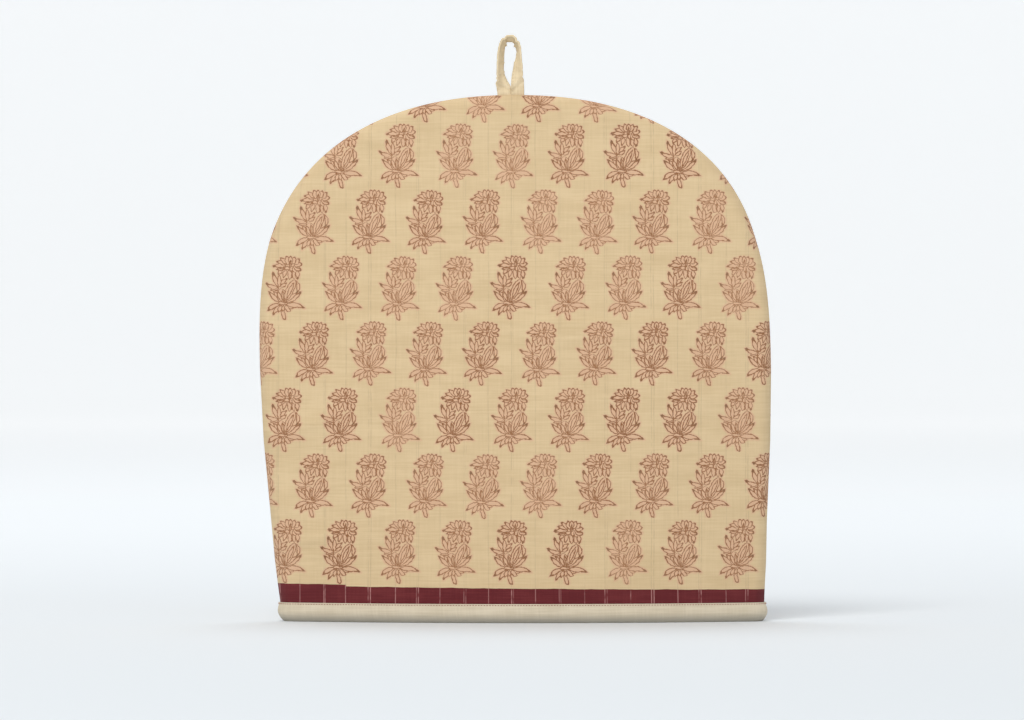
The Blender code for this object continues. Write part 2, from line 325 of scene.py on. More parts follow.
def skin_rows():
    """Rings of places from the inner sheet's border out to the seam.

    A place is (start, to_middle, inset, rim_angle, travelled, near_rim). Inset is measured inwards
    from the outline, and is None on the rim, where the angle gives it. Travelled is how far along
    the seam the place lies, and near_rim grows from 0 at the inner sheet to 1 at the rim.
    """
    border = [sheet_place(0, row) for row in range(SHEET_ROWS)]
    border += [sheet_place(column, SHEET_ROWS) for column in range(SHEET_COLUMNS + 1)]
    border += [sheet_place(SHEET_COLUMNS, row) for row in reversed(range(SHEET_ROWS))]
    edge = outline(FOOT, len(border) - 1)
    step_length = (edge[1] - edge[0]).length
    rows = []
    for ring in range(1, PLAIN_RINGS + 1):
        share = ring / PLAIN_RINGS
        row = []
        for index, start in enumerate(border):
            to_middle = inward(edge, index)
            rim = edge[index] + to_middle * RIM_RADIUS
            place = start.lerp(rim, share)
            row.append((place, to_middle, 0.0, math.pi / 2, index * step_length, share))
        rows.append(row)
    for step in range(RIM_STEPS - 1, -1, -1):
        angle = math.pi / 2 * (step / RIM_STEPS) ** RIM_CROWDING
        rows.append([
            (edge[index], inward(edge, index), None, angle, index * step_length, 1.0)
            for index in range(len(edge))
        ])
    return rows


def wall_place(place, side, skin):
    """(position, flat cloth place) of one point. skin is 0 on the outside and 1 on the inside."""
    start, to_middle, inset, angle, travelled, near_rim = place
    radius = RIM_RADIUS - WALL * skin
    if inset is None:
        inset = WALL * skin + radius * (1 - math.cos(angle))
        flat = start + to_middle * RIM_RADIUS * (1 - (math.pi / 2 - angle))
        if not skin:
            inset += SEAM_DIP * math.exp(-(RIM_RADIUS * math.sin(angle) / SEAM_DIP_WIDTH) ** 2)
    else:
        flat = start
    x, up = start + to_middle * inset
    rise = math.sin(angle)
    shape = relief_of(FOLDS[side], x, up) + relief_of(CREASES[side], x, up) + hills(x, up, side)
    along_seam = Vector((travelled * PUCKERS_PER_METRE, PUCKERS_APART * side, 0.5))
    pucker = PUCKER_RISE * near_rim ** PUCKER_POWER * noise.noise(along_seam)
    outwards = rise * (shape + pucker * smooth_between(*HELD_UP, up))
    if skin:
        depth = rise * (radius + swell(x, up)) + outwards
    else:
        depth = radius * rise + swell(x, up) + outwards
    depth = max(depth, seam_room(x, up))
    position = Vector((x + lean(up), side * depth, up))
    return position, Vector((flat.x + lean(up), flat.y))


print("rings", PLAIN_RINGS + RIM_STEPS, "round a sheet of", SHEET_COLUMNS, "by", SHEET_ROWS)

# %% [markdown]
# ## Helpers for meshes
# Most pieces are made the same way: a line of points is extruded again and again, and each new
# point is put where a formula says. While that is done, each point's place on the flat cloth is
# kept too, in metres. It goes into the mesh's UV map, which the print and the weave read later.

# %% Helpers for meshes
CLOTH_MAP = "cloth"


def extrude_line(bm, verts, closed=False):
    """Extrude a line of verts and return the new line in the same order."""
    pairs = list(zip(verts, verts[1:] + verts[:1])) if closed else list(zip(verts, verts[1:]))
    edges = [bm.edges.get(pair) for pair in pairs]
    made = bmesh.ops.extrude_edge_only(bm, edges=edges)["geom"]
    new_verts = {item for item in made if isinstance(item, bmesh.types.BMVert)}
    after = []
    for vert in verts:
        partner = next(
            edge.other_vert(vert) for edge in vert.link_edges if edge.other_vert(vert) in new_verts
        )
        after.append(partner)
    return after


def lay_map(bm, cloth):
    """Writes each vert's flat cloth place into the mesh's UV map."""
    layer = bm.loops.layers.uv.new(CLOTH_MAP)
    for face in bm.faces:
        for loop in face.loops:
            loop[layer].uv = cloth[loop.vert]


def smooth_object(name, bm):
    """A smooth object from a finished bmesh."""
    mesh = bpy.data.meshes.new(name)
    bm.to_mesh(mesh)
    bm.free()
    mesh.shade_smooth()
    piece = bpy.data.objects.new(name, mesh)
    scene.collection.objects.link(piece)
    return piece


def finished_piece(name, bm, slot_name, *nodes):
    """A smooth object that rides on the body in place of its solids."""
    piece = smooth_object(name, bm)
    if nodes:
        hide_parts(*nodes)
    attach(piece, "root")
    return piece


# %% [markdown]
# ## Building the two walls
# The outer skin is made first. Its copy is turned inside out and moved in by the wall's thickness
# to make the inner skin, and the open edges of the two skins are bridged. That leaves one closed
# wall with wadding's thickness. A cloth simulation would crease by chance, so formulas are used.

# %% Walls
BACK_PRINT_SHIFT = 0.0095   # the back is cut from another stretch of the same cloth


def wall(side):
    """Bmesh of one padded wall."""
    bm = bmesh.new()
    bmesh.ops.create_grid(bm, x_segments=SHEET_COLUMNS, y_segments=SHEET_ROWS, size=0.5)
    places = {}
    grid = {}
    for vert in bm.verts:
        column = round((vert.co.x + 0.5) * SHEET_COLUMNS)
        row = round((vert.co.y + 0.5) * SHEET_ROWS)
        grid[column, row] = vert
        places[vert] = (sheet_place(column, row), Vector((0.0, 0.0)), 0.0, math.pi / 2, 0.0, 0.0)
    line = [grid[0, row] for row in range(SHEET_ROWS)]
    line += [grid[column, SHEET_ROWS] for column in range(SHEET_COLUMNS + 1)]
    line += [grid[SHEET_COLUMNS, row] for row in reversed(range(SHEET_ROWS))]
    for ring in skin_rows():
        line = extrude_line(bm, line)
        for vert, place in zip(line, ring):
            places[vert] = place
    outer = list(bm.verts)
    copied = bmesh.ops.duplicate(bm, geom=bm.verts[:] + bm.edges[:] + bm.faces[:])
    inner_of = copied["vert_map"]
    inner_faces = [item for item in copied["geom"] if isinstance(item, bmesh.types.BMFace)]
    cloth = {}
    for vert in outer:
        place = places[vert]
        vert.co, cloth[vert] = wall_place(place, side, 0)
        inner = inner_of[vert]
        inner.co, cloth[inner] = wall_place(place, side, 1)
    bmesh.ops.reverse_faces(bm, faces=inner_faces)
    for face in inner_faces:
        face.material_index = 1
    rims = [edge for edge in bm.edges if edge.is_boundary]
    joined = bmesh.ops.bridge_loops(bm, edges=rims)["faces"]
    for face in joined:
        face.material_index = 1
    longest = max(edge.calc_length() for face in joined for edge in face.edges)
    print("wall", "front" if side == FRONT else "back", "faces", len(bm.faces),
          "joined", len(joined), "longest edge there", round(1000 * longest, 1), "mm")
    if side == BACK:
        bmesh.ops.reverse_faces(bm, faces=bm.faces)
        cloth = {vert: Vector((BACK_PRINT_SHIFT - at.x, at.y)) for vert, at in cloth.items()}
    lay_map(bm, cloth)
    return bm


front_wall = finished_piece("printed_front", wall(FRONT), "printed_cotton", "front_wall")
back_wall = finished_piece("printed_back", wall(BACK), "printed_cotton", "back_wall")

# %% [markdown]
# ## A line round the hem
# The binding and its stitches both follow the hem, so the line round it is worked out once for
# any height: over the rounded rim at one side seam, along the bulging front and back again. Its
# points are spaced evenly, and a second helper moves them out by a distance of their own.

# %% Line round the hem
HEM_STEPS = 300             # steps along the hem from one side seam to the other
RIM_POINTS = 24             # points over the rounded rim, before they are spaced evenly
FACE_POINTS = 120
BINDING_HEIGHT = 0.0119
BINDING_SLOT_UP = 0.0022
STITCH_UP = 0.0110
PINCH = 0.0006              # the binding draws in at the side seams


def hem_line(up, side):
    """Evenly spaced points of a wall's outer face at one height, left seam to right seam."""
    across = half_width(up)
    points = []
    for step in range(RIM_POINTS + 1):
        angle = math.pi / 2 * step / RIM_POINTS
        x = -across + RIM_RADIUS * (1 - math.cos(angle))
        points.append(Vector((x, RIM_RADIUS * math.sin(angle) + swell(x, up))))
    reach = across - RIM_RADIUS
    for step in range(1, FACE_POINTS):
        x = -reach + 2 * reach * step / FACE_POINTS
        points.append(Vector((x, RIM_RADIUS + swell(x, up) + relief_of(FOLDS[side], x, up))))
    points += [Vector((-point.x, point.y)) for point in reversed(points[:RIM_POINTS + 1])]
    spaced = spaced_evenly(points, HEM_STEPS)
    return [Vector((point.x + lean(up), side * point.y, up)) for point in spaced]


def hem_ring(up):
    """The closed line round both walls at a height: front from the left, then back."""
    front = hem_line(up, FRONT)
    back = hem_line(up, BACK)
    return front + list(reversed(back[1:-1]))


def moved_out(line, distances):
    """A closed level line moved outwards, each point by its own distance."""
    moved = []
    for index, here in enumerate(line):
        along = (line[(index + 1) % len(line)] - line[index - 1]).normalized()
        out = Vector((along.y, -along.x, 0.0))
        moved.append(here + out * distances[index])
    return moved


def length_of(line):
    """Length along a line of points."""
    return sum((after - before).length for before, after in zip(line, line[1:]))


hem_here = hem_ring(STITCH_UP)
hem_length = length_of(hem_here + hem_here[:1])
print("length round the hem", round(hem_length, 4))

# %% [markdown]
# ## The hem binding
# A cream strip is folded over the raw lower edges, turned under along its top and sewn through
# with one line of stitches. The stitches pull it in near its top, and the strip puffs out below
# them. It is made as one ring: a line round the hem is extruded from row to row of a cross
# section, and the last row is bridged to the first. Small puckers hang from the stitch line.

# %% Binding
BINDING_PROFILE = (
    # outside, inside, share of the height, share of the puckers
    (0.00262, 0.00262, 0.975, 0.02),
    (0.00288, 0.00284, 0.998, 0.05),
    (0.00310, 0.00304, 0.995, 0.10),
    (0.00322, 0.00315, 0.980, 0.20),
    (0.00325, 0.00318, 0.958, 0.20),
    (0.00324, 0.00317, 0.940, 0.08),
    (0.00323, 0.00316, 0.925, 0.02),
    (0.00325, 0.00317, 0.908, 0.08),
    (0.00338, 0.00328, 0.875, 0.50),
    (0.00376, 0.00358, 0.815, 1.20),
    (0.00424, 0.00388, 0.725, 1.50),
    (0.00456, 0.00406, 0.610, 1.10),
    (0.00462, 0.00408, 0.520, 0.80),
    (0.00446, 0.00396, 0.430, 0.60),
    (0.00412, 0.00370, 0.340, 0.50),
    (0.00364, 0.00332, 0.250, 0.40),
    (0.00306, 0.00284, 0.168, 0.30),
    (0.00240, 0.00228, 0.095, 0.20),
    (0.00172, 0.00168, 0.038, 0.10),
    (0.00100, 0.00100, 0.000, 0.02),
)
PUCKER_DEPTH = 0.00032
PUCKERS_ROUND = 95.0        # puckers per metre of binding
HEM_WAVE = 0.00018
WAVES_ROUND = 21.0
PINCH_HALF = 0.0016         # half the length that the pinch at a side seam takes up
SLOT_TOP = 0.90             # share of the binding's height


def binding_section():
    """The binding's closed cross section: (distance out, height, share of the puckers)."""
    outside = []
    inside = []
    for out, back, share, pucker in BINDING_PROFILE:
        outside.append((out, share * BINDING_HEIGHT, pucker))
        inside.insert(0, (-back, share * BINDING_HEIGHT, -pucker))
    slot = WALL / 2 + GAP
    slot_top = SLOT_TOP * BINDING_HEIGHT
    return outside + inside + [
        (-slot, slot_top, 0.0),
        (-slot, BINDING_SLOT_UP, 0.0),
        (slot, BINDING_SLOT_UP, 0.0),
        (slot, slot_top, 0.0),
    ]


def hem_binding():
    """The binding as one closed ring with a slot for the walls."""
    bm = bmesh.new()
    section = binding_section()
    count = 2 * HEM_STEPS
    line = bmesh.ops.create_circle(bm, segments=count, radius=0.1)["verts"]
    first = line
    cloth = {}
    across = 0.0
    for number, (out, up, pucker) in enumerate(section):
        if number:
            line = extrude_line(bm, line, closed=True)
            across += math.dist((out, up), section[number - 1][:2])
        base = hem_ring(up)
        distances = []
        for index in range(count):
            place = hem_length * index / count
            fold = noise.noise(Vector((place * PUCKERS_ROUND, up * 90.0, 5.0)))
            wave = noise.noise(Vector((place * WAVES_ROUND, 2.0, up * 30.0)))
            near_seam = min(index % HEM_STEPS, HEM_STEPS - index % HEM_STEPS) * hem_length / count
            pinch = PINCH * math.exp(-(near_seam / PINCH_HALF) ** 2) * min(1.0, abs(pucker))
            grow = PUCKER_DEPTH * fold * pucker + HEM_WAVE * wave * max(-1.0, min(1.0, pucker))
            distances.append(out - WALL / 2 + (grow - math.copysign(pinch, pucker) if pucker else 0.0))
        for index, (vert, place) in enumerate(zip(line, moved_out(base, distances))):
            vert.co = place
            cloth[vert] = Vector((hem_length * index / count, across))
    ends = []
    for loop in (first, line):
        ends += [bm.edges.get(pair) for pair in zip(loop, loop[1:] + loop[:1])]
    bmesh.ops.bridge_loops(bm, edges=ends)
    bmesh.ops.recalc_face_normals(bm, faces=bm.faces)
    lay_map(bm, cloth)
    return bm


binding = finished_piece("cream_hem_binding", hem_binding(), "cream_cotton", "hem_binding")
print("binding faces", len(binding.data.polygons))

# %% [markdown]
# ## The way the loop goes
# Both ends of the loop are sewn into the top seam side by side. The tape starts face on, turns
# until it is nearly edge on, and kinks where it goes over the top. A table gives its place and
# turn at a few rows, and a smooth curve through them gives the rest.

# %% Path of the loop
TAPE_WIDTH = 0.0080
TAPE_CLOTH = 0.00050
TAPE_LAYERS = 0.00085       # distance between the middles of the two layers
TAPE_STEPS = 10
LOOP_ROWS = (
    # x, above the top seam, to the back, turn of the tape's face (degrees), share of its width
    (-0.0068, -0.0043, 0.0000, 0, 1.04),
    (-0.0069, 0.0008, 0.0002, 2, 1.06),
    (-0.0074, 0.0040, 0.0007, 8, 1.08),
    (-0.0086, 0.0080, 0.0006, 38, 1.04),
    (-0.0095, 0.0135, 0.0002, 60, 1.00),
    (-0.0095, 0.0200, 0.0000, 62, 1.00),
    (-0.0091, 0.0262, 0.0000, 64, 0.98),
    (-0.0084, 0.0306, 0.0000, 66, 0.96),
    (-0.0067, 0.0341, 0.0000, 64, 0.88),
    (-0.0040, 0.0349, 0.0000, 60, 0.90),
    (-0.0013, 0.0345, 0.0000, 64, 0.88),
    (0.0009, 0.0321, 0.0000, 70, 0.88),
    (0.0019, 0.0278, 0.0000, 74, 0.95),
    (0.0020, 0.0227, -0.0001, 68, 0.98),
    (0.0017, 0.0185, -0.0003, 54, 1.00),
    (0.0013, 0.0125, -0.0006, 36, 1.00),
    (0.0012, 0.0075, -0.0008, 16, 1.00),
    (0.0012, 0.0030, -0.0006, 4, 1.01),
    (0.0012, 0.0002, -0.0002, 0, 1.02),
    (0.0012, -0.0043, 0.0000, 0, 1.02),
)
TAPE_CREASES = (
    # row of the table, slant, half length along the tape, rise
    (2.0, 0.9, 0.0008, 0.00080),
    (2.6, 0.8, 0.0007, -0.00080),
    (3.9, -0.3, 0.0005, -0.00050),
    (5.1, 0.2, 0.0005, -0.00045),
    (7.7, 0.5, 0.0007, -0.00120),
    (8.6, 0.9, 0.0006, 0.00040),
    (11.0, -0.4, 0.0007, -0.00120),
    (12.0, -0.3, 0.0006, 0.00035),
    (14.2, 0.5, 0.0009, -0.00030),
    (16.0, -0.9, 0.0008, -0.00120),
    (16.6, -0.9, 0.0007, 0.00060),
)


def loop_path():
    """Rows (place, turn, width) along the tape, smoothed through the rows of the table."""
    rows = [
        (Vector((x, back, TOP + above)), Vector((math.radians(turn), share)))
        for x, above, back, turn, share in LOOP_ROWS
    ]
    path = []
    for index in range(len(rows) - 1):
        near = [rows[min(max(index + offset, 0), len(rows) - 1)] for offset in (-1, 0, 1, 2)]
        for step in range(TAPE_STEPS):
            t = step / TAPE_STEPS
            shares = (
                (-t + 2 * t ** 2 - t ** 3) / 2,
                (2 - 5 * t ** 2 + 3 * t ** 3) / 2,
                (t + 4 * t ** 2 - 3 * t ** 3) / 2,
                (-t ** 2 + t ** 3) / 2,
            )
            place = sum((share * row[0] for share, row in zip(shares, near)), Vector((0.0, 0.0, 0.0)))
            look = sum((share * row[1] for share, row in zip(shares, near)), Vector((0.0, 0.0)))
            path.append((place, look.x, look.y))
    path.append((rows[-1][0], rows[-1][1].x, rows[-1][1].y))
    return path


def tape_frames():
    """(place, wide, thick, width) along the tape."""
    path = loop_path()
    frames = []
    for number, (place, turn, share) in enumerate(path):
        behind = path[max(number - 1, 0)][0]
        ahead = path[min(number + 1, len(path) - 1)][0]
        along = (ahead - behind).normalized()
        in_plane = Vector((along.z, 0.0, -along.x))
        wide = in_plane * math.cos(turn) + Vector((0.0, math.sin(turn), 0.0))
        frames.append((place, wide, along.cross(wide), share * TAPE_WIDTH))
    return frames


tape = tape_frames()
travelled_at = [0.0]
for before, after in zip(tape, tape[1:]):
    travelled_at.append(travelled_at[-1] + (after[0] - before[0]).length)
crease_places = {row: travelled_at[round(row * TAPE_STEPS)] for row, *_ in TAPE_CREASES}

# %% [markdown]
# ## The hanging loop
# The loop is a narrow strip folded in half along its length and sewn along its open edge. The
# cloth is thin, so it is made as one open sheet with two layers and a fold, swept along the path.
# A Solidify modifier gives it its thickness at the end.

# %% Loop
LAYER_COLUMNS = 7
FOLD_COLUMNS = 4
TAPE_CUP = 0.00030
TAPE_RIPPLE = 0.00016
RIPPLES_PER_METRE = 160.0
EDGE_PRESSED = 0.25         # how much closer the stitches press the layers at the open edge


def tape_section():
    """The folded strip from its open edge, round its fold and back: (across, through) of its middle."""
    half = TAPE_LAYERS / 2
    section = []
    for column in range(LAYER_COLUMNS + 1):
        section.append((0.5 - column / LAYER_COLUMNS * (1 - half / TAPE_WIDTH), half))
    for column in range(1, FOLD_COLUMNS):
        angle = math.pi * column / FOLD_COLUMNS
        section.append((-0.5 + half / TAPE_WIDTH * (1 - math.sin(angle)), half * math.cos(angle)))
    for column in range(LAYER_COLUMNS, -1, -1):
        section.append((0.5 - column / LAYER_COLUMNS * (1 - half / TAPE_WIDTH), -half))
    return section


def crease_of_tape(travelled, across):
    """How far the creases push the tape off its path at one place."""
    total = 0.0
    for row, slant, half, rise in TAPE_CREASES:
        off = travelled - crease_places[row] + slant * across
        total += rise * math.exp(-(off / half) ** 2)
    return total


def hanging_loop():
    """The folded tape as one open sheet."""
    bm = bmesh.new()
    section = tape_section()
    line = [bm.verts.new((across * TAPE_WIDTH, 0.0, 0.0)) for across, _ in section]
    for pair in zip(line, line[1:]):
        bm.edges.new(pair)
    cloth = {}
    for number, (place, wide, thick, width) in enumerate(tape):
        if number:
            line = extrude_line(bm, line)
        travelled = travelled_at[number]
        across_cloth = 0.0
        for index, (vert, (across, through)) in enumerate(zip(line, section)):
            if index:
                across_before, through_before = section[index - 1]
                across_cloth += math.hypot((across - across_before) * TAPE_WIDTH, through - through_before)
            rippled_at = Vector((travelled * RIPPLES_PER_METRE, across * 2.0, 1.0 + through))
            lift = TAPE_RIPPLE * noise.noise(rippled_at) + TAPE_CUP * (1 - (2 * across) ** 2)
            lift += crease_of_tape(travelled, across * width)
            lift += through * (1 - EDGE_PRESSED * smooth_between(0.30, 0.5, across))
            vert.co = place + wide * across * width + thick * lift
            cloth[vert] = Vector((travelled, across_cloth))
    bmesh.ops.recalc_face_normals(bm, faces=bm.faces)
    lay_map(bm, cloth)
    return bm


loop = finished_piece("cream_hanging_loop", hanging_loop(), "cream_tape", "hanging_loop")
thickness = loop.modifiers.new("cloth", "SOLIDIFY")
thickness.thickness = TAPE_CLOTH
thickness.offset = 0.0
print("loop faces", len(loop.data.polygons))

# %% [markdown]
# ## Stitches
# A stitch is a short length of thread between two holes. From a step away it is a small stretched
# ball, so one ball is shaped again for every stitch and added to the mesh of its line. The
# stitches lie at equal steps, and each one is turned to run along its line.

# %% Stitch helpers
STITCH_PITCH = 0.00175
STITCH_LENGTH = 0.00108
THREAD_RADIUS = 0.00023
THREAD_FLATNESS = 1.25

one_stitch = bmesh.new()
bmesh.ops.create_uvsphere(one_stitch, u_segments=6, v_segments=5, radius=1.0)
ball = [vert.co.copy() for vert in one_stitch.verts]
stitch_faces = len(one_stitch.faces)
stitch_mesh = bpy.data.meshes.new("one_stitch")


def add_stitch(bm, place, along, out):
    """Adds a short length of thread lying along a line, seen from the out side."""
    side = along.cross(out)
    for vert, at in zip(one_stitch.verts, ball):
        bulge = at.x * side * THREAD_RADIUS * THREAD_FLATNESS + at.y * out * THREAD_RADIUS
        vert.co = place + bulge + at.z * along * STITCH_LENGTH / 2
    one_stitch.to_mesh(stitch_mesh)
    bm.from_mesh(stitch_mesh)


def even_steps(line, pitch):
    """(place, direction) at equal steps along a line of points."""
    count = max(2, round(length_of(line) / pitch))
    points = spaced_evenly(line, count)
    return [(points[i], (points[i + 1] - points[i]).normalized()) for i in range(count)]


print("faces of a stitch", stitch_faces)

# %% [markdown]
# ## The binding's top stitches
# One line of stitches goes through the binding and both its layers, so it shows on the outside
# and on the inside. It lies in the groove that it pulls into the cloth near the binding's top.

# %% Top stitches of the binding
STITCH_OUT = 0.00322
STITCH_IN = 0.00315
STITCH_PROUD = 0.00008
STITCH_UNEVEN = 0.00012


def binding_stitches():
    """Stitches on the outside and on the inside of the binding."""
    bm = bmesh.new()
    base = hem_ring(STITCH_UP)
    for distance, facing in ((STITCH_OUT, 1), (-STITCH_IN, -1)):
        line = moved_out(base, [distance - WALL / 2] * len(base))
        line.append(line[0])
        for number, (place, along) in enumerate(even_steps(line, STITCH_PITCH)):
            out = Vector((along.y, -along.x, 0.0)) * facing
            uneven = STITCH_UNEVEN * noise.noise(Vector((number * 0.37, 4.0, facing)))
            add_stitch(bm, place + Vector((0.0, 0.0, uneven)) + out * STITCH_PROUD, along, out)
    return bm


top_stitches = finished_piece("binding_top_stitches", binding_stitches(), "cream_cotton")
print("binding stitches", len(top_stitches.data.polygons) // stitch_faces)

# %% [markdown]
# ## The tape's edge stitches
# Another line closes the folded tape along its open edge and shows on both of its faces.

# %% Stitches of the tape
TAPE_STITCH_PITCH = 0.0022
TAPE_STITCH_IN = 0.0011     # from the tape's open edge
TAPE_STITCH_DEPTH = 0.85    # share of the layers' distance that is left where they are sewn
ROWS_IN_SEAM = 4            # rows of the tape at each end that the seam hides


def tape_stitches():
    """Stitches along the tape's open edge, on both of its faces."""
    bm = bmesh.new()
    rows = list(zip(travelled_at, tape))[ROWS_IN_SEAM:-ROWS_IN_SEAM]
    for facing in (1, -1):
        line = []
        outs = []
        for travelled, (place, wide, thick, width) in rows:
            across = width / 2 - TAPE_STITCH_IN
            lift = TAPE_CUP * (1 - (2 * across / width) ** 2) + crease_of_tape(travelled, across)
            layer = facing * (TAPE_LAYERS / 2 * TAPE_STITCH_DEPTH + TAPE_CLOTH / 2)
            line.append(place + wide * across + thick * (lift + layer))
            outs.append(thick * facing)
        for place, along in even_steps(line, TAPE_STITCH_PITCH):
            nearest = min(range(len(line)), key=lambda index: (line[index] - place).length)
            add_stitch(bm, place + along * TAPE_STITCH_PITCH / 2, along, outs[nearest])
        print("tape stitch line", round(length_of(line), 4))
    return bm


edge_stitches = finished_piece("tape_edge_stitches", tape_stitches(), "cream_tape")
one_stitch.free()
bpy.data.meshes.remove(stitch_mesh)

# %% [markdown]
# ## Small helpers for materials
# Materials are built from nodes. Each helper here adds one node, links or fills its inputs and
# gives back its output, so a formula reads almost as on paper. The last two make a node group
# with named inputs and outputs and place it in a tree. An effect such as the weave is then drawn
# once and used by every cloth.

# %% Node helpers
FLOAT, VECTOR = "NodeSocketFloat", "NodeSocketVector"


def fill_inputs(tree, sockets, values):
    """Links a socket or sets a plain value on each input."""
    for socket, value in zip(sockets, values):
        if isinstance(value, bpy.types.NodeSocket):
            tree.links.new(value, socket)
        elif value is not None:
            socket.default_value = value


def add_node(tree, kind, *values, **settings):
    """A new node with its settings made and its first inputs linked or filled."""
    node = tree.nodes.new("ShaderNode" + kind)
    for name, value in settings.items():
        setattr(node, name, value)
    fill_inputs(tree, node.inputs, values)
    return node


def math_node(tree, operation, *values):
    """Output of a Math node."""
    return add_node(tree, "Math", *values, operation=operation).outputs[0]


def vector_node(tree, operation, *values):
    """Output of a Vector Math node."""
    node = add_node(tree, "VectorMath", *values, operation=operation)
    return node.outputs["Value" if operation in {"DOT_PRODUCT", "LENGTH"} else "Vector"]


def parts_of(tree, vector):
    """The X, Y and Z of a vector."""
    return add_node(tree, "SeparateXYZ", vector).outputs


def joined(tree, *values):
    """A vector made of three values."""
    return add_node(tree, "CombineXYZ", *values).outputs[0]


def object_place(tree):
    """The place on the piece, in metres."""
    return tree.nodes.new("ShaderNodeTexCoord").outputs["Object"]


def mix(tree, share, first, second, kind="RGBA"):
    """Output of a Mix node, of colours or else of plain values."""
    node = add_node(tree, "Mix", data_type=kind)
    fill_inputs(tree, (node.inputs["Factor"], node.inputs["A"], node.inputs["B"]), (share, first, second))
    return node.outputs["Result"]


def noise_node(tree, place, scale, detail):
    """Outputs of a smooth noise."""
    node = add_node(tree, "TexNoise")
    sockets = [node.inputs[title] for title in ("Vector", "Scale", "Detail")]
    fill_inputs(tree, sockets, (place, scale, detail))
    return node.outputs


def lumps(tree, place, per_unit, detail=1.0):
    """Smooth noise from 0 to 1, with its own number of lumps per unit across and up."""
    stretched = vector_node(tree, "MULTIPLY", place, (*per_unit, 0.0))
    return noise_node(tree, stretched, 1.0, detail)["Fac"]


def between(tree, value, low, high, curve="SMOOTHSTEP"):
    """0 where the value is below low, 1 above high."""
    return add_node(tree, "MapRange", value, low, high, 0.0, 1.0, interpolation_type=curve).outputs["Result"]


def chances(tree, dimensions, cell):
    """White noise of a whole number or cell: one value, a colour and the colour's channels."""
    node = tree.nodes.new("ShaderNodeTexWhiteNoise")
    node.noise_dimensions = dimensions
    tree.links.new(cell, node.inputs["W" if dimensions == "1D" else "Vector"])
    channels = add_node(tree, "SeparateColor", node.outputs["Color"]).outputs
    return node.outputs["Value"], node.outputs["Color"], channels


def in_millimetres(tree, cloth):
    """Across and up on the flat cloth, in millimetres."""
    split = parts_of(tree, vector_node(tree, "MULTIPLY", cloth, (1000.0, 1000.0, 0.0)))
    return split["X"], split["Y"]


def new_group(name, inputs, outputs):
    """A shader node group: (tree, its Math nodes' helper, its inputs, its outputs)."""
    tree = bpy.data.node_groups.new(name, "ShaderNodeTree")
    for title, kind in inputs:
        tree.interface.new_socket(title, in_out="INPUT", socket_type=kind)
    for title in outputs:
        tree.interface.new_socket(title, in_out="OUTPUT", socket_type=FLOAT)
    entry = tree.nodes.new("NodeGroupInput").outputs
    leaving = tree.nodes.new("NodeGroupOutput").inputs
    return tree, partial(math_node, tree), entry, leaving


def use_group(tree, group, **values):
    """Places a group in a tree and gives back its outputs."""
    node = tree.nodes.new("ShaderNodeGroup")
    node.node_tree = group
    for title, value in values.items():
        fill_inputs(tree, [node.inputs[title]], [value])
    return node.outputs


# %% [markdown]
# ## Plain weave
# Plain cotton passes each thread over one and under the next. Two sine waves, one for each
# direction, give that raised pattern at thread size. Hand-woven threads also vary, so noise that
# is stretched along each direction makes some of them thicker or paler: these are the slubs.

# %% Weave group
WEFT_LUMPS = (42.0, 980.0)  # thick and thin places per metre, across and up
WARP_LUMPS = (830.0, 38.0)
WEFT_SHARE, WARP_SHARE = 1.3, 0.7
CROSSING_SHARE = 0.18       # how much of the height is the over and under of the threads


def weave_group():
    """Height and shade of a plain weave on flat cloth in metres."""
    tree, calc, entry, leaving = new_group(
        "plain_weave", [("Cloth", VECTOR), ("Threads", FLOAT)], ["Height", "Shade"]
    )
    turns = add_node(tree, "VectorMath", entry["Cloth"], operation="SCALE")
    tree.links.new(calc("MULTIPLY", entry["Threads"], math.pi), turns.inputs["Scale"])
    split = parts_of(tree, turns.outputs["Vector"])
    crossing = calc("MULTIPLY", calc("SINE", split["X"]), calc("SINE", split["Y"]))
    weft = lumps(tree, entry["Cloth"], WEFT_LUMPS, 2.0)
    warp = lumps(tree, entry["Cloth"], WARP_LUMPS, 2.0)
    slubs = calc("MULTIPLY_ADD", weft, WEFT_SHARE, calc("MULTIPLY", warp, WARP_SHARE))
    tree.links.new(calc("MULTIPLY_ADD", crossing, CROSSING_SHARE, slubs), leaving["Height"])
    tree.links.new(calc("MULTIPLY", slubs, 0.5), leaving["Shade"])
    return tree


plain_weave = weave_group()
print("weave nodes", len(plain_weave.nodes))

# %% [markdown]
# ## One leaf of the printed sprig
# The print is a sprig with a stalk, leaves and two flowers, cut in outline on a wooden block.
# Every leaf and petal is the same shape: two arcs that meet in points. In a leaf's own measures,
# along runs from -1 to 1, and the leaf's edge is where the distance from its bent middle line
# equals 1 - along squared. The ink is strongest on that edge and falls off to both sides, so a
# heavy stamp can later show it wide and a light one thin. One group draws such a leaf over what is
# already drawn, so the sprig is a chain of these groups fed from a short table.

# %% Leaf group
HIDDEN = 9.0                # taken off the ink where a leaf covers it
POOL_POWER = 5.0            # more keeps the pooled ink closer to the leaf's tip


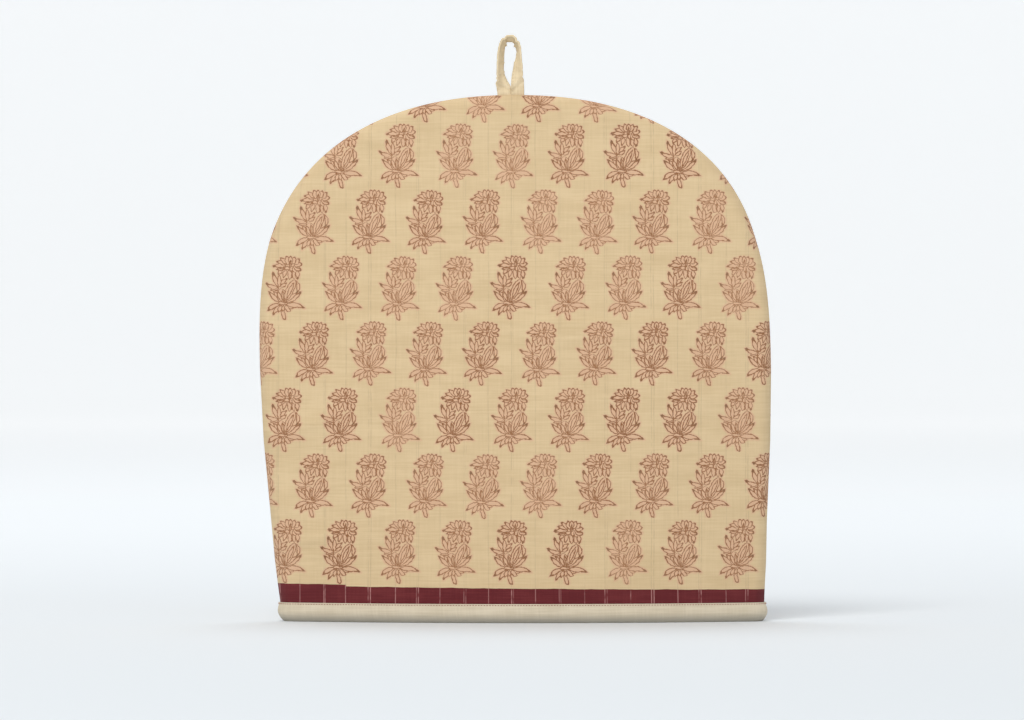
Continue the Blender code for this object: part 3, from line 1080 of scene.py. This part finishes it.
def leaf_group():
    """Ink and tint of one leaf, over the leaves below it."""
    numbers = ["Bend", "Blunt", "Sharp", "Vein", "Tip", "Ink", "Tint"]
    tree, calc, entry, leaving = new_group(
        "print_leaf",
        [(title, VECTOR) for title in ("Place", "Along", "Across")] + [(title, FLOAT) for title in numbers],
        ["Ink", "Tint"],
    )
    along = vector_node(tree, "DOT_PRODUCT", entry["Place"], entry["Along"])
    across = vector_node(tree, "DOT_PRODUCT", entry["Place"], entry["Across"])
    room = calc("SUBTRACT", 1.0, calc("POWER", along, entry["Blunt"]))
    off = calc("ABSOLUTE", calc("MULTIPLY_ADD", room, entry["Bend"], across))
    edge = calc("SUBTRACT", off, room)
    inside = calc("LESS_THAN", edge, 0.0)
    near_tip = add_node(tree, "Clamp", along).outputs[0]
    pool = calc("MULTIPLY_ADD", calc("POWER", near_tip, POOL_POWER), entry["Tip"], 1.0)
    fall = calc("MULTIPLY", entry["Sharp"], -1.0)
    line = calc("MULTIPLY_ADD", calc("ABSOLUTE", edge), fall, pool)
    vein = calc("MULTIPLY_ADD", off, fall, entry["Vein"])
    vein = calc("MULTIPLY_ADD", inside, HIDDEN, vein)
    below = calc("MULTIPLY_ADD", inside, -HIDDEN, entry["Ink"])
    ink = calc("MAXIMUM", calc("MAXIMUM", line, below), vein)
    tree.links.new(ink, leaving["Ink"])
    tree.links.new(calc("MAXIMUM", entry["Tint"], inside), leaving["Tint"])
    return tree


print_leaf = leaf_group()
print("leaf nodes", len(print_leaf.nodes))

# %% [markdown]
# ## The sprig
# The table lists the leaves from the lowest layer up, in millimetres from the sprig's middle.
# Bend curves a leaf to one side, blunt makes its ends rounder, and tip says how much ink pools at
# its far end, as it does where the block presses hardest. A few large leaves carry a vein.

# %% Sprig group
INK_SPREAD = 0.46           # mm from the middle of a printed line to where its ink ends
VEIN_INK = 0.9
LEAVES = (
    # from x, from y, to x, to y, half width, bend, vein, tip, blunt
    # stalk
    (-1.6, -12.4, 0.1, -19.7, 1.00, 0.25, 0, 0.9, 6),
    # foot leaves
    (-3.4, -9.8, -10.7, -13.8, 1.30, 0.35, 0, 1.0, 2),
    (-3.2, -10.4, -7.3, -16.4, 1.10, 0.20, 0, 1.0, 2),
    (-2.2, -10.8, -4.3, -15.0, 1.00, 0.05, 0, 0.3, 2),
    (-0.9, -10.8, -1.5, -14.4, 1.00, 0.00, 0, 0.0, 2),
    (0.3, -10.9, 3.3, -14.3, 1.10, 0.40, 0, 0.2, 4),
    (1.2, -10.4, 5.2, -12.4, 1.00, 0.35, 0, 0.0, 2),
    (0.4, -10.5, 11.4, -11.7, 1.45, -0.50, 0, 1.2, 2),
    # large leaves
    (-2.6, -8.8, -10.0, -2.7, 1.35, -0.25, 0, 1.2, 2),
    (-2.4, -8.2, -7.2, -2.2, 1.10, 0.25, 0, 0.2, 2),
    (0.2, -8.9, 9.3, -2.9, 1.35, 0.35, 0, 1.2, 2),
    (0.4, -8.4, 7.0, -2.6, 1.05, 0.00, 0, 0.0, 2),
    (-1.8, -9.0, -2.8, -0.2, 2.60, 0.00, 0, 0.0, 4),
    (-2.0, -8.4, -4.6, -2.0, 0.85, -0.20, 0, 0.0, 2),
    (-0.9, -8.4, -1.8, -1.4, 0.90, 0.10, 1, 0.0, 2),
    # bud and its turned-over side
    (0.5, -7.2, 6.1, 5.3, 2.25, -0.15, 0, 0.0, 4),
    (1.0, -6.4, 5.2, 3.4, 0.95, -0.20, 0, 0.0, 2),
    (6.9, 4.7, 7.4, -2.4, 0.95, -1.00, 0, 1.5, 2),
    (-4.6, -9.4, 1.4, -9.6, 0.95, 0.00, 0, 0.0, 4),
    (-1.0, -8.6, 0.6, -8.9, 0.60, 0.00, 1, 1.0, 2),
    # star of leaves on the left
    (-4.2, -1.0, -9.4, -1.2, 0.90, 0.30, 0, 0.0, 2),
    (-4.0, 0.0, -11.7, 2.3, 1.20, -0.45, 0, 1.5, 2),
    (-4.2, 0.8, -7.8, 8.9, 1.20, -0.25, 0, 1.5, 2),
    (-4.0, 0.8, -4.0, 8.0, 1.05, 0.15, 0, 0.3, 4),
    (-3.4, 1.0, 0.6, 3.2, 0.95, 0.40, 0, 0.4, 2),
    (-3.0, 2.2, 0.6, 5.8, 1.05, -0.25, 0, 0.8, 2),
    # petals hanging under the flowers
    (6.6, 11.8, 7.7, 6.3, 1.10, -0.30, 0, 1.2, 2),
    (4.6, 11.6, 5.4, 5.9, 1.10, -0.10, 0, 0.2, 4),
    (2.4, 11.4, 2.8, 5.8, 1.15, 0.00, 0, 0.2, 4),
    (0.2, 11.6, -1.2, 6.8, 1.15, 0.10, 0, 0.6, 2),
    (-1.8, 11.8, -4.6, 8.6, 1.00, 0.20, 0, 0.6, 2),
    # left flower
    (0.6, 13.2, -5.2, 11.6, 1.05, -0.15, 0, 0.9, 2),
    (0.4, 14.0, -7.4, 13.8, 1.30, 0.15, 0, 1.4, 2),
    (0.4, 14.6, -5.4, 16.6, 1.15, 0.25, 0, 0.9, 2),
    (0.7, 14.9, -3.1, 18.8, 1.25, 0.15, 0, 1.1, 2),
    (1.5, 14.6, 0.5, 19.8, 1.55, 0.10, 0, 0.9, 2),
    (-0.8, 12.6, 2.6, 12.2, 1.05, 0.00, 0, 0.4, 2),
    # right flower
    (4.4, 14.0, 2.8, 10.6, 1.10, 0.00, 0, 0.3, 2),
    (4.8, 13.6, 6.2, 10.0, 1.15, 0.00, 0, 0.5, 4),
    (5.0, 14.1, 9.4, 11.2, 1.45, 0.15, 0, 1.1, 2),
    (5.2, 14.5, 9.9, 15.0, 1.55, -0.10, 0, 1.1, 2),
    (5.0, 15.0, 8.4, 18.2, 1.55, -0.10, 0, 1.1, 2),
    (4.4, 15.0, 5.6, 19.4, 1.45, -0.10, 0, 1.0, 2),
    (3.2, 15.0, 2.9, 19.7, 1.35, -0.05, 0, 1.0, 2),
    (3.8, 13.9, 5.2, 15.1, 0.80, 0.00, 0, 0.8, 4),
    # heavy strokes between the petals
    (2.3, 12.4, 3.0, 16.8, 0.40, 0.20, 0, 0.8, 2),
    (-0.4, 12.4, -3.4, 12.4, 0.35, 0.10, 0, 0.8, 2),
    (6.2, 13.2, 9.2, 12.2, 0.40, 0.10, 0, 0.9, 2),
    (4.2, 10.6, 4.0, 8.0, 0.35, 0.10, 0, 0.8, 2),
)


def leaf_measures(row):
    """Settings of the leaf group for one row of the table."""
    from_x, from_y, to_x, to_y, half, bend, vein, tip, blunt = row
    start, end = Vector((from_x, from_y)), Vector((to_x, to_y))
    middle = (start + end) / 2
    half_length = (end - start).length / 2
    along = (end - start).normalized()
    across = Vector((-along.y, along.x))
    return {
        "Along": (along.x / half_length, along.y / half_length, -along.dot(middle) / half_length),
        "Across": (across.x / half, across.y / half, -across.dot(middle) / half),
        "Bend": bend,
        "Blunt": blunt,
        "Sharp": half / INK_SPREAD,
        "Vein": VEIN_INK * vein - HIDDEN,
        "Tip": tip,
    }


def sprig_group():
    """The whole sprig. Place is (x, y, 1) in millimetres from its middle."""
    tree, _, entry, leaving = new_group("print_sprig", [("Place", VECTOR)], ["Ink", "Tint"])
    ink, tint = -HIDDEN, 0.0
    for row in LEAVES:
        leaf = use_group(tree, print_leaf, Place=entry["Place"], Ink=ink, Tint=tint, **leaf_measures(row))
        ink, tint = leaf["Ink"], leaf["Tint"]
    tree.links.new(ink, leaving["Ink"])
    tree.links.new(tint, leaving["Tint"])
    return tree


print_sprig = sprig_group()
print("leaves in the sprig", len(LEAVES))

# %% [markdown]
# ## The block print
# The sprig is stamped in rows, every other row shifted by about half a step. A hand-held block
# never lands exactly right or with the same amount of ink, so each stamp gets its own small
# shift, turn and strength from white noise on its row and column number. Smooth noise bends the
# lines a little, as a wooden block's cut edges are never quite true.

# %% Block print group
ROW_PITCH = 41.1            # mm, as all the measures of the print
FIRST_ROW_UP = 43.75
COLUMN_PITCH = 35.3
FIRST_COLUMN = -2.2
ODD_ROW_SHIFT = 17.3
STAMP_SHIFT = (1.8, 0.7, 0.0)
STAMP_TURN = 0.045          # from the most to the least turned stamp, in radians
WOBBLES_PER_MM = 0.55
WOBBLE = (1.3, 1.3, 0.0)
HALF = (0.5, 0.5, 0.5)      # noise runs from 0 to 1, so this centres it


def block_print_group():
    """Ink and tint of the printed rows, on flat cloth in metres."""
    tree, calc, entry, leaving = new_group("block_print", [("Cloth", VECTOR)], ["Ink", "Tint", "Strength"])
    x, up = in_millimetres(tree, entry["Cloth"])
    rows_up = calc("SUBTRACT", up, FIRST_ROW_UP)
    row = calc("ROUND", calc("DIVIDE", rows_up, ROW_PITCH))
    odd = calc("FLOORED_MODULO", row, 2.0)
    shifted = calc("MULTIPLY_ADD", odd, -ODD_ROW_SHIFT, calc("SUBTRACT", x, FIRST_COLUMN))
    column = calc("ROUND", calc("DIVIDE", shifted, COLUMN_PITCH))
    strength, colour, channels = chances(tree, "2D", joined(tree, column, row, 0.0))
    across = calc("MULTIPLY_ADD", column, -COLUMN_PITCH, shifted)
    local = joined(tree, across, calc("MULTIPLY_ADD", row, -ROW_PITCH, rows_up), 0.0)
    uneven = vector_node(tree, "SUBTRACT", noise_node(tree, local, WOBBLES_PER_MM, 1.0)["Color"], HALF)
    moved = vector_node(tree, "SUBTRACT", colour, HALF)
    place = vector_node(tree, "ADD", local, vector_node(tree, "MULTIPLY", moved, STAMP_SHIFT))
    place = vector_node(tree, "ADD", place, vector_node(tree, "MULTIPLY", uneven, WOBBLE))
    turn = calc("MULTIPLY_ADD", channels["Blue"], STAMP_TURN, -STAMP_TURN / 2)
    parts = parts_of(tree, place)
    turned_x = calc("MULTIPLY_ADD", parts["Y"], turn, parts["X"])
    turned_y = calc("SUBTRACT", parts["Y"], calc("MULTIPLY", parts["X"], turn))
    sprig = use_group(tree, print_sprig, Place=joined(tree, turned_x, turned_y, 1.0))
    below_band = calc("LESS_THAN", row, -0.5)
    tree.links.new(calc("MULTIPLY_ADD", below_band, -HIDDEN, sprig["Ink"]), leaving["Ink"])
    tree.links.new(calc("SUBTRACT", sprig["Tint"], below_band), leaving["Tint"])
    tree.links.new(strength, leaving["Strength"])
    return tree


block_print = block_print_group()
print("print nodes", len(block_print.nodes))

# %% [markdown]
# ## The thick threads
# The cloth has a thick thread at every 15 mm or so, alternately a pair and a single one. They
# show as faint lines in the ground, and in the maroon band they stay pale because they take less
# dye. A little noise bends each line and breaks it up, and white noise varies its strength.

# %% Thread group
THREAD_PITCH = 14.7         # mm, as the rest here
FIRST_THREAD = -134.3
THREAD_BEND = 1.6
THREAD_STRAY = 1.0          # how far a thread may lie from its place, to either side
PAIR_APART = (0.35, 0.45)   # half the distance of a pair: the least, and what chance adds
THREAD_EDGE = (0.46, 0.12)  # a thread fades out between these distances from its middle
LEAST_SHOWN = 0.30


def thread_group():
    """Where the thick threads lie, on flat cloth in metres, and how strongly each one shows."""
    tree, calc, entry, leaving = new_group("thick_threads", [("Cloth", VECTOR)], ["Threads", "Strength"])
    bend = lumps(tree, entry["Cloth"], (9.0, 26.0))
    across, _ = in_millimetres(tree, entry["Cloth"])
    x = calc("SUBTRACT", across, FIRST_THREAD + THREAD_BEND / 2)
    x = calc("MULTIPLY_ADD", bend, THREAD_BEND, x)
    number = calc("ROUND", calc("DIVIDE", x, THREAD_PITCH))
    chance, _, channels = chances(tree, "1D", number)
    off = calc("MULTIPLY_ADD", number, -THREAD_PITCH, x)
    off = calc("ADD", off, calc("MULTIPLY_ADD", chance, 2 * THREAD_STRAY, -THREAD_STRAY))
    paired = calc("FLOORED_MODULO", number, 2.0)
    spacing = calc("MULTIPLY_ADD", channels["Red"], PAIR_APART[1], PAIR_APART[0])
    spacing = calc("MULTIPLY", paired, spacing)
    apart = calc("ABSOLUTE", calc("SUBTRACT", calc("ABSOLUTE", off), spacing))
    breaks = between(tree, lumps(tree, entry["Cloth"], (300.0, 210.0)), 0.22, 0.6)
    tree.links.new(calc("MULTIPLY", between(tree, apart, *THREAD_EDGE), breaks), leaving["Threads"])
    right = calc("GREATER_THAN", off, 0.0)
    strand = mix(tree, right, channels["Green"], channels["Blue"], "FLOAT")
    tree.links.new(calc("MULTIPLY_ADD", strand, 1 - LEAST_SHOWN, LEAST_SHOWN), leaving["Strength"])
    return tree


thick_threads = thread_group()
print("thread nodes", len(thick_threads.nodes))

# %% [markdown]
# ## The printed band
# The maroon band is a second printing along the cloth's edge, so it is colour and needs no piece
# of its own. Its top is slightly uneven and slopes a little, and it steps up near the left.

# %% Band group
BAND_TOP = 21.5
BAND_UNEVEN = 1.3
BAND_SLOPE = -0.0091
BAND_JOG_AT = -105.6
BAND_JOG = 1.0
BAND_EDGE = (-0.10, 0.16)   # the dye ends between these distances below the top


def band_group():
    """1 inside the printed band, on flat cloth in metres."""
    tree, calc, entry, leaving = new_group("printed_band", [("Cloth", VECTOR)], ["Band"])
    x, up = in_millimetres(tree, entry["Cloth"])
    top = calc("MULTIPLY_ADD", lumps(tree, entry["Cloth"], (60.0, 0.0), 3.0), BAND_UNEVEN,
               BAND_TOP - BAND_UNEVEN / 2)
    top = calc("MULTIPLY_ADD", x, BAND_SLOPE, top)
    top = calc("MULTIPLY_ADD", calc("LESS_THAN", x, BAND_JOG_AT), BAND_JOG, top)
    tree.links.new(between(tree, calc("SUBTRACT", top, up), *BAND_EDGE), leaving["Band"])
    return tree


printed_band = band_group()
print("groups", [group.name for group in bpy.data.node_groups])

# %% [markdown]
# ## Cloth as a material
# Cotton is matt with a faint sheen. Numbers that are the same all over are set on the shader
# itself, and everything that changes over the cloth is read from its flat map. The weave raises
# the surface only a little, through a Bump node, because its threads are far finer than the mesh.

# %% Helpers for finishes
WEAVE_DEPTH = 0.00016


def new_material(name, **settings):
    """A material with plain values on its shader: (material, tree, shader). Spaces are written as _."""
    material = bpy.data.materials.new(name)
    material.use_nodes = True
    tree = material.node_tree
    shader = tree.nodes["Principled BSDF"]
    for title, value in settings.items():
        shader.inputs[title.replace("_", " ")].default_value = value
    return material, tree, shader


def cloth_material(name, roughness):
    """A new cloth: (material, tree, shader, flat cloth place)."""
    material, tree, shader = new_material(
        name, Roughness=roughness, Specular_IOR_Level=0.15, Sheen_Weight=0.05, Sheen_Roughness=0.6
    )
    return material, tree, shader, add_node(tree, "UVMap", uv_map=CLOTH_MAP).outputs["UV"]


def raise_surface(tree, shader, height, strength, distance):
    """Raises the surface through the shader's normal."""
    bump = tree.nodes.new("ShaderNodeBump")
    fill_inputs(
        tree,
        (bump.inputs["Strength"], bump.inputs["Distance"], bump.inputs["Height"], shader.inputs["Normal"]),
        (strength, distance, height, bump.outputs["Normal"]),
    )


# %% [markdown]
# ## The printed cotton
# The printed cloth puts the groups together, one over the other as on the real cloth: the woven
# ground, the thread lines, the tint that the block's wet ink leaves inside the leaves, the inked
# lines, and the band. The ink is a smooth value with its peak in the middle of a line. How hard
# the stamp was pressed, and small patches of more or less ink, decide how much of it shows.

# %% Printed cotton
GROUND = (0.624, 0.463, 0.266, 1.0)
GROUND_PALE = (0.706, 0.539, 0.325, 1.0)
CLOUDS = (30.0, 95.0)       # paler and darker places per metre, across and up
TINT = (0.654, 0.360, 0.252, 1.0)
TINT_SHARE = 0.56
BLEED = (-2.8, 0.4)         # the tint spreads past a line between these values of its ink
INK_FAINT = (0.250, 0.088, 0.020, 1.0)
INK_DARK = (0.200, 0.060, 0.012, 1.0)
INK_POOLED = (0.100, 0.040, 0.011, 1.0)
POOLED = (1.05, 1.70)
INK_PATCHES = (620.0, 620.0)
PRESS_LEAST = 0.08          # the lightest stamp's share of the ink's spread
PRESS_RANGE = 0.17
PATCHES = 0.75              # how much the ink thickens and thins along a line
LINE_EDGE = (0.80, 1.16)    # a line fades out between these values of ink and press
BAND = (0.122, 0.017, 0.021, 1.0)
BAND_FADED = (0.168, 0.029, 0.032, 1.0)
THREAD_DARK = (0.440, 0.325, 0.200, 1.0)
THREAD_PALE = (0.500, 0.250, 0.235, 1.0)
THREAD_IN_GROUND, THREAD_IN_BAND = 0.42, 0.85
THREAD_HEIGHT = 0.9


def uneven_shade(tree, weave, flat, clouds, detail, contrast):
    """Paler and darker places of a cloth, from its slubs and from soft clouds."""
    cloudy = lumps(tree, flat, clouds, detail)
    slubs = math_node(tree, "SUBTRACT", weave["Shade"], 0.5)
    return math_node(tree, "MULTIPLY_ADD", slubs, contrast, cloudy)


def printed_cotton():
    """The outside of both walls."""
    material, tree, shader, flat = cloth_material("block_printed_cotton", 0.88)
    calc = partial(math_node, tree)
    weave = use_group(tree, plain_weave, Cloth=flat, Threads=2000.0)
    stamp = use_group(tree, block_print, Cloth=flat)
    threads = use_group(tree, thick_threads, Cloth=flat)
    band = use_group(tree, printed_band, Cloth=flat)["Band"]
    shade = uneven_shade(tree, weave, flat, CLOUDS, 3.0, 1.3)
    ground = mix(tree, between(tree, shade, 0.1, 0.9), GROUND, GROUND_PALE)
    line_share = calc("MULTIPLY", threads["Threads"], threads["Strength"])
    ground = mix(tree, calc("MULTIPLY", line_share, THREAD_IN_GROUND), ground, THREAD_DARK)
    bleed = calc("MAXIMUM", stamp["Tint"], between(tree, stamp["Ink"], *BLEED))
    tinted = mix(tree, calc("MULTIPLY", bleed, TINT_SHARE), ground, TINT)
    ink = mix(tree, stamp["Strength"], INK_FAINT, INK_DARK)
    ink = mix(tree, between(tree, stamp["Ink"], *POOLED), ink, INK_POOLED)
    patchy = lumps(tree, flat, INK_PATCHES, 2.0)
    press = calc("MULTIPLY_ADD", stamp["Strength"], PRESS_RANGE, PRESS_LEAST)
    press = calc("MULTIPLY_ADD", patchy, PATCHES, press)
    cover = between(tree, calc("ADD", stamp["Ink"], press), *LINE_EDGE)
    cover = calc("MULTIPLY", cover, calc("MULTIPLY_ADD", stamp["Strength"], 0.10, 0.64))
    cover = calc("MULTIPLY", cover, calc("MULTIPLY_ADD", patchy, 0.55, 0.80))
    printed = mix(tree, cover, tinted, ink)
    dyed = mix(tree, between(tree, shade, 0.25, 0.95), BAND, BAND_FADED)
    dyed = mix(tree, calc("MULTIPLY", line_share, THREAD_IN_BAND), dyed, THREAD_PALE)
    tree.links.new(mix(tree, band, printed, dyed), shader.inputs["Base Color"])
    height = calc("MULTIPLY_ADD", threads["Threads"], THREAD_HEIGHT, weave["Height"])
    raise_surface(tree, shader, height, 0.55, WEAVE_DEPTH)
    return material


# %% [markdown]
# ## Plain cotton and sewing thread
# The inside, the binding and the tape are plain cotton: the same weave with their own colours and
# thread counts. The binding has painted shade at its foot: it is greyer towards the bottom, where
# the hem turns under, so its colour also reads the height on the piece. Sewing thread is twisted,
# and slanted waves show that.

# %% Plain cotton and thread
# painted shade: the heights over which the binding's foot is darkened
PAINTED_SHADE_UP, PAINTED_SHADE_DOWN = 0.0066, 0.0004      # the hem is greyest at the bottom
PAINTED_SHADE_SHARE = 0.75
PLAIN_CLOUDS = (60.0, 60.0)
PLAIN_WEAVE_STRENGTH = 0.5


def plain_cotton(name, dark, pale, threads, painted_shade=None):
    """Unprinted cotton with its own colours and threads per metre, with painted shade at its foot if a shade
    colour is given.
    """
    material, tree, shader, flat = cloth_material(name, 0.9)
    weave = use_group(tree, plain_weave, Cloth=flat, Threads=threads)
    shade = uneven_shade(tree, weave, flat, PLAIN_CLOUDS, 2.0, 1.8)
    colour = mix(tree, between(tree, shade, 0.1, 0.9), dark, pale)
    if painted_shade:
        # painted shade: the colour greys towards the bottom of the piece, where the hem turns under
        up = parts_of(tree, object_place(tree))["Z"]
        low = between(tree, up, PAINTED_SHADE_UP, PAINTED_SHADE_DOWN)
        colour = mix(tree, math_node(tree, "MULTIPLY", low, PAINTED_SHADE_SHARE), colour, painted_shade)
    tree.links.new(colour, shader.inputs["Base Color"])
    raise_surface(tree, shader, weave["Height"], PLAIN_WEAVE_STRENGTH, WEAVE_DEPTH)
    return material


def sewing_thread(name, dark, pale):
    """Twisted sewing thread: slanted strands on a matt core."""
    material, tree, shader = new_material(name, Roughness=0.7)
    twist = add_node(tree, "TexWave", object_place(tree), bands_direction="DIAGONAL")
    twist.inputs["Scale"].default_value = 900.0
    twist.inputs["Distortion"].default_value = 1.0
    strands = twist.outputs["Fac"]
    tree.links.new(mix(tree, strands, dark, pale), shader.inputs["Base Color"])
    raise_surface(tree, shader, strands, 0.4, 0.00005)
    return material


# %% [markdown]
# ## Dressing the pieces
# Each wall has two material slots, the print outside and plain cotton inside, which its faces
# were numbered for when it was built. Every other piece has one.

# %% Give each piece its material
FINISHES = (
    # pieces, the materials of their slots
    ((front_wall, back_wall), (
        printed_cotton(),
        plain_cotton("plain_inside_cotton", (0.560, 0.470, 0.330, 1), (0.640, 0.550, 0.400, 1), 1900.0),
    )),
    ((binding,), (
        plain_cotton("cream_binding_cotton", (0.610, 0.522, 0.386, 1), (0.700, 0.612, 0.470, 1), 1800.0,
                     painted_shade=(0.360, 0.335, 0.290, 1)),
    )),
    ((loop,), (
        plain_cotton("cream_tape_cotton", (0.700, 0.565, 0.365, 1), (0.800, 0.665, 0.455, 1), 2100.0),
    )),
    ((top_stitches,), (sewing_thread("maroon_thread", (0.27, 0.08, 0.068, 1), (0.45, 0.20, 0.165, 1)),)),
    ((edge_stitches,), (sewing_thread("cream_thread", (0.50, 0.40, 0.25, 1), (0.66, 0.55, 0.37, 1)),)),
)
for pieces, finishes in FINISHES:
    for piece in pieces:
        for finish in finishes:
            piece.data.materials.append(finish)
print("materials", [material.name for material in bpy.data.materials])

# %% [markdown]
# ## Floor and background
# The cosy stands on a plain pale floor. The floor curves up into a wall all round, like a bowl,
# so every view ends in the same pale tone with no horizon. A profile is spun round the middle to
# make it. The floor also glows a little, and more the further out it is, as a lit backdrop does.

# %% Bowl-shaped floor
BOWL_FLOOR = 8.0
BOWL_CORNER = 3.0
BOWL_TOP = 4.0
CORNER_STEPS = 12
BOWL_STEPS = 96
GLOW_FROM, GLOW_TO = 0.0, 6.0
BLACK = (0.0, 0.0, 0.0, 1.0)
GLOW = (0.450, 0.446, 0.440, 1.0)
FLOOR_NEAR_PAINTED_SHADE = (0.640, 0.680, 0.712, 1.0)     # painted shade: the floor is darker towards the camera
FLOOR_FAR = (0.765, 0.800, 0.828, 1.0)
FLOOR_SHADE_TURNS = (-1.7, 0.1)


def bowl_mesh():
    """The floor, its rounded corner and the wall, spun round the middle."""
    bm = bmesh.new()
    profile = [Vector((0.0, 0.0, 0.0)), Vector((BOWL_FLOOR, 0.0, 0.0))]
    for step in range(1, CORNER_STEPS + 1):
        angle = math.pi / 2 * step / CORNER_STEPS
        out, up = BOWL_CORNER * math.sin(angle), BOWL_CORNER * (1 - math.cos(angle))
        profile.append(Vector((BOWL_FLOOR + out, 0.0, up)))
    profile.append(Vector((BOWL_FLOOR + BOWL_CORNER, 0.0, BOWL_TOP)))
    verts = [bm.verts.new(point) for point in profile]
    edges = [bm.edges.new(pair) for pair in zip(verts, verts[1:])]
    bmesh.ops.spin(bm, geom=verts + edges, cent=(0, 0, 0), axis=(0, 0, 1), angle=2 * math.pi,
                   steps=BOWL_STEPS, use_merge=True)
    bmesh.ops.remove_doubles(bm, verts=bm.verts, dist=0.0001)
    bmesh.ops.recalc_face_normals(bm, faces=bm.faces)
    bmesh.ops.reverse_faces(bm, faces=bm.faces)
    return bm


def pale_paper():
    """Matt paper that glows more the further out it is, as painted light, and darkens towards the camera, as
    painted shade.
    """
    material, tree, shader = new_material(
        "pale_floor", Roughness=0.95, Specular_IOR_Level=0.1, Emission_Strength=1.0
    )
    place = object_place(tree)
    far = between(tree, vector_node(tree, "LENGTH", place), GLOW_FROM, GLOW_TO, "LINEAR")
    tree.links.new(mix(tree, far, BLACK, GLOW), shader.inputs["Emission Color"])
    # painted shade: the floor's colour darkens towards the camera
    inner = between(tree, parts_of(tree, place)["Y"], *FLOOR_SHADE_TURNS)
    tree.links.new(mix(tree, inner, FLOOR_NEAR_PAINTED_SHADE, FLOOR_FAR), shader.inputs["Base Color"])
    return material


floor = smooth_object("pale_floor", bowl_mesh())
floor.data.materials.append(pale_paper())
print("floor faces", len(floor.data.polygons))

# %% [markdown]
# ## Light
# The light is soft and comes from above and in front, with hardly a shadow. A large round lamp is
# the key, a weak one on the right opens the shaded side, and one over the floor behind lifts the
# background. A pale sky fills in the rest. Each lamp is turned towards its own aim.

# %% Lights
SKY = (0.97, 0.985, 1.0, 1.0)
SKY_STRENGTH = 0.36
LAMPS = (
    # name, place, aim, size, power, colour
    ("key", (-1.1, -3.6, 3.9), (0.0, 0.0, 0.17), 2.4, 145.0, (1.0, 0.99, 0.97)),
    ("fill", (2.6, -3.6, 1.4), (0.0, 0.0, 0.17), 2.8, 11.0, (0.97, 0.985, 1.0)),
    ("behind", (-0.3, 1.8, 3.6), (-0.3, 1.8, 0.0), 2.8, 62.0, (0.98, 0.99, 1.0)),
)
for name, place, aim, size, power, colour in LAMPS:
    lamp_data = bpy.data.lights.new(name, "AREA")
    lamp_data.shape = "DISK"
    lamp_data.size = size
    lamp_data.energy = power
    lamp_data.color = colour
    lamp = bpy.data.objects.new(name, lamp_data)
    lamp.location = place
    lamp.rotation_mode = "QUATERNION"
    lamp.rotation_quaternion = (Vector(aim) - lamp.location).to_track_quat("-Z", "Y")
    lamp.visible_camera = False
    scene.collection.objects.link(lamp)

world = bpy.data.worlds.new("soft_sky")
world.use_nodes = True
world.node_tree.nodes["Background"].inputs["Color"].default_value = SKY
world.node_tree.nodes["Background"].inputs["Strength"].default_value = SKY_STRENGTH
scene.world = world
scene.view_settings.view_transform = "Standard"
scene.view_settings.look = "None"
print("lamps", len(LAMPS))
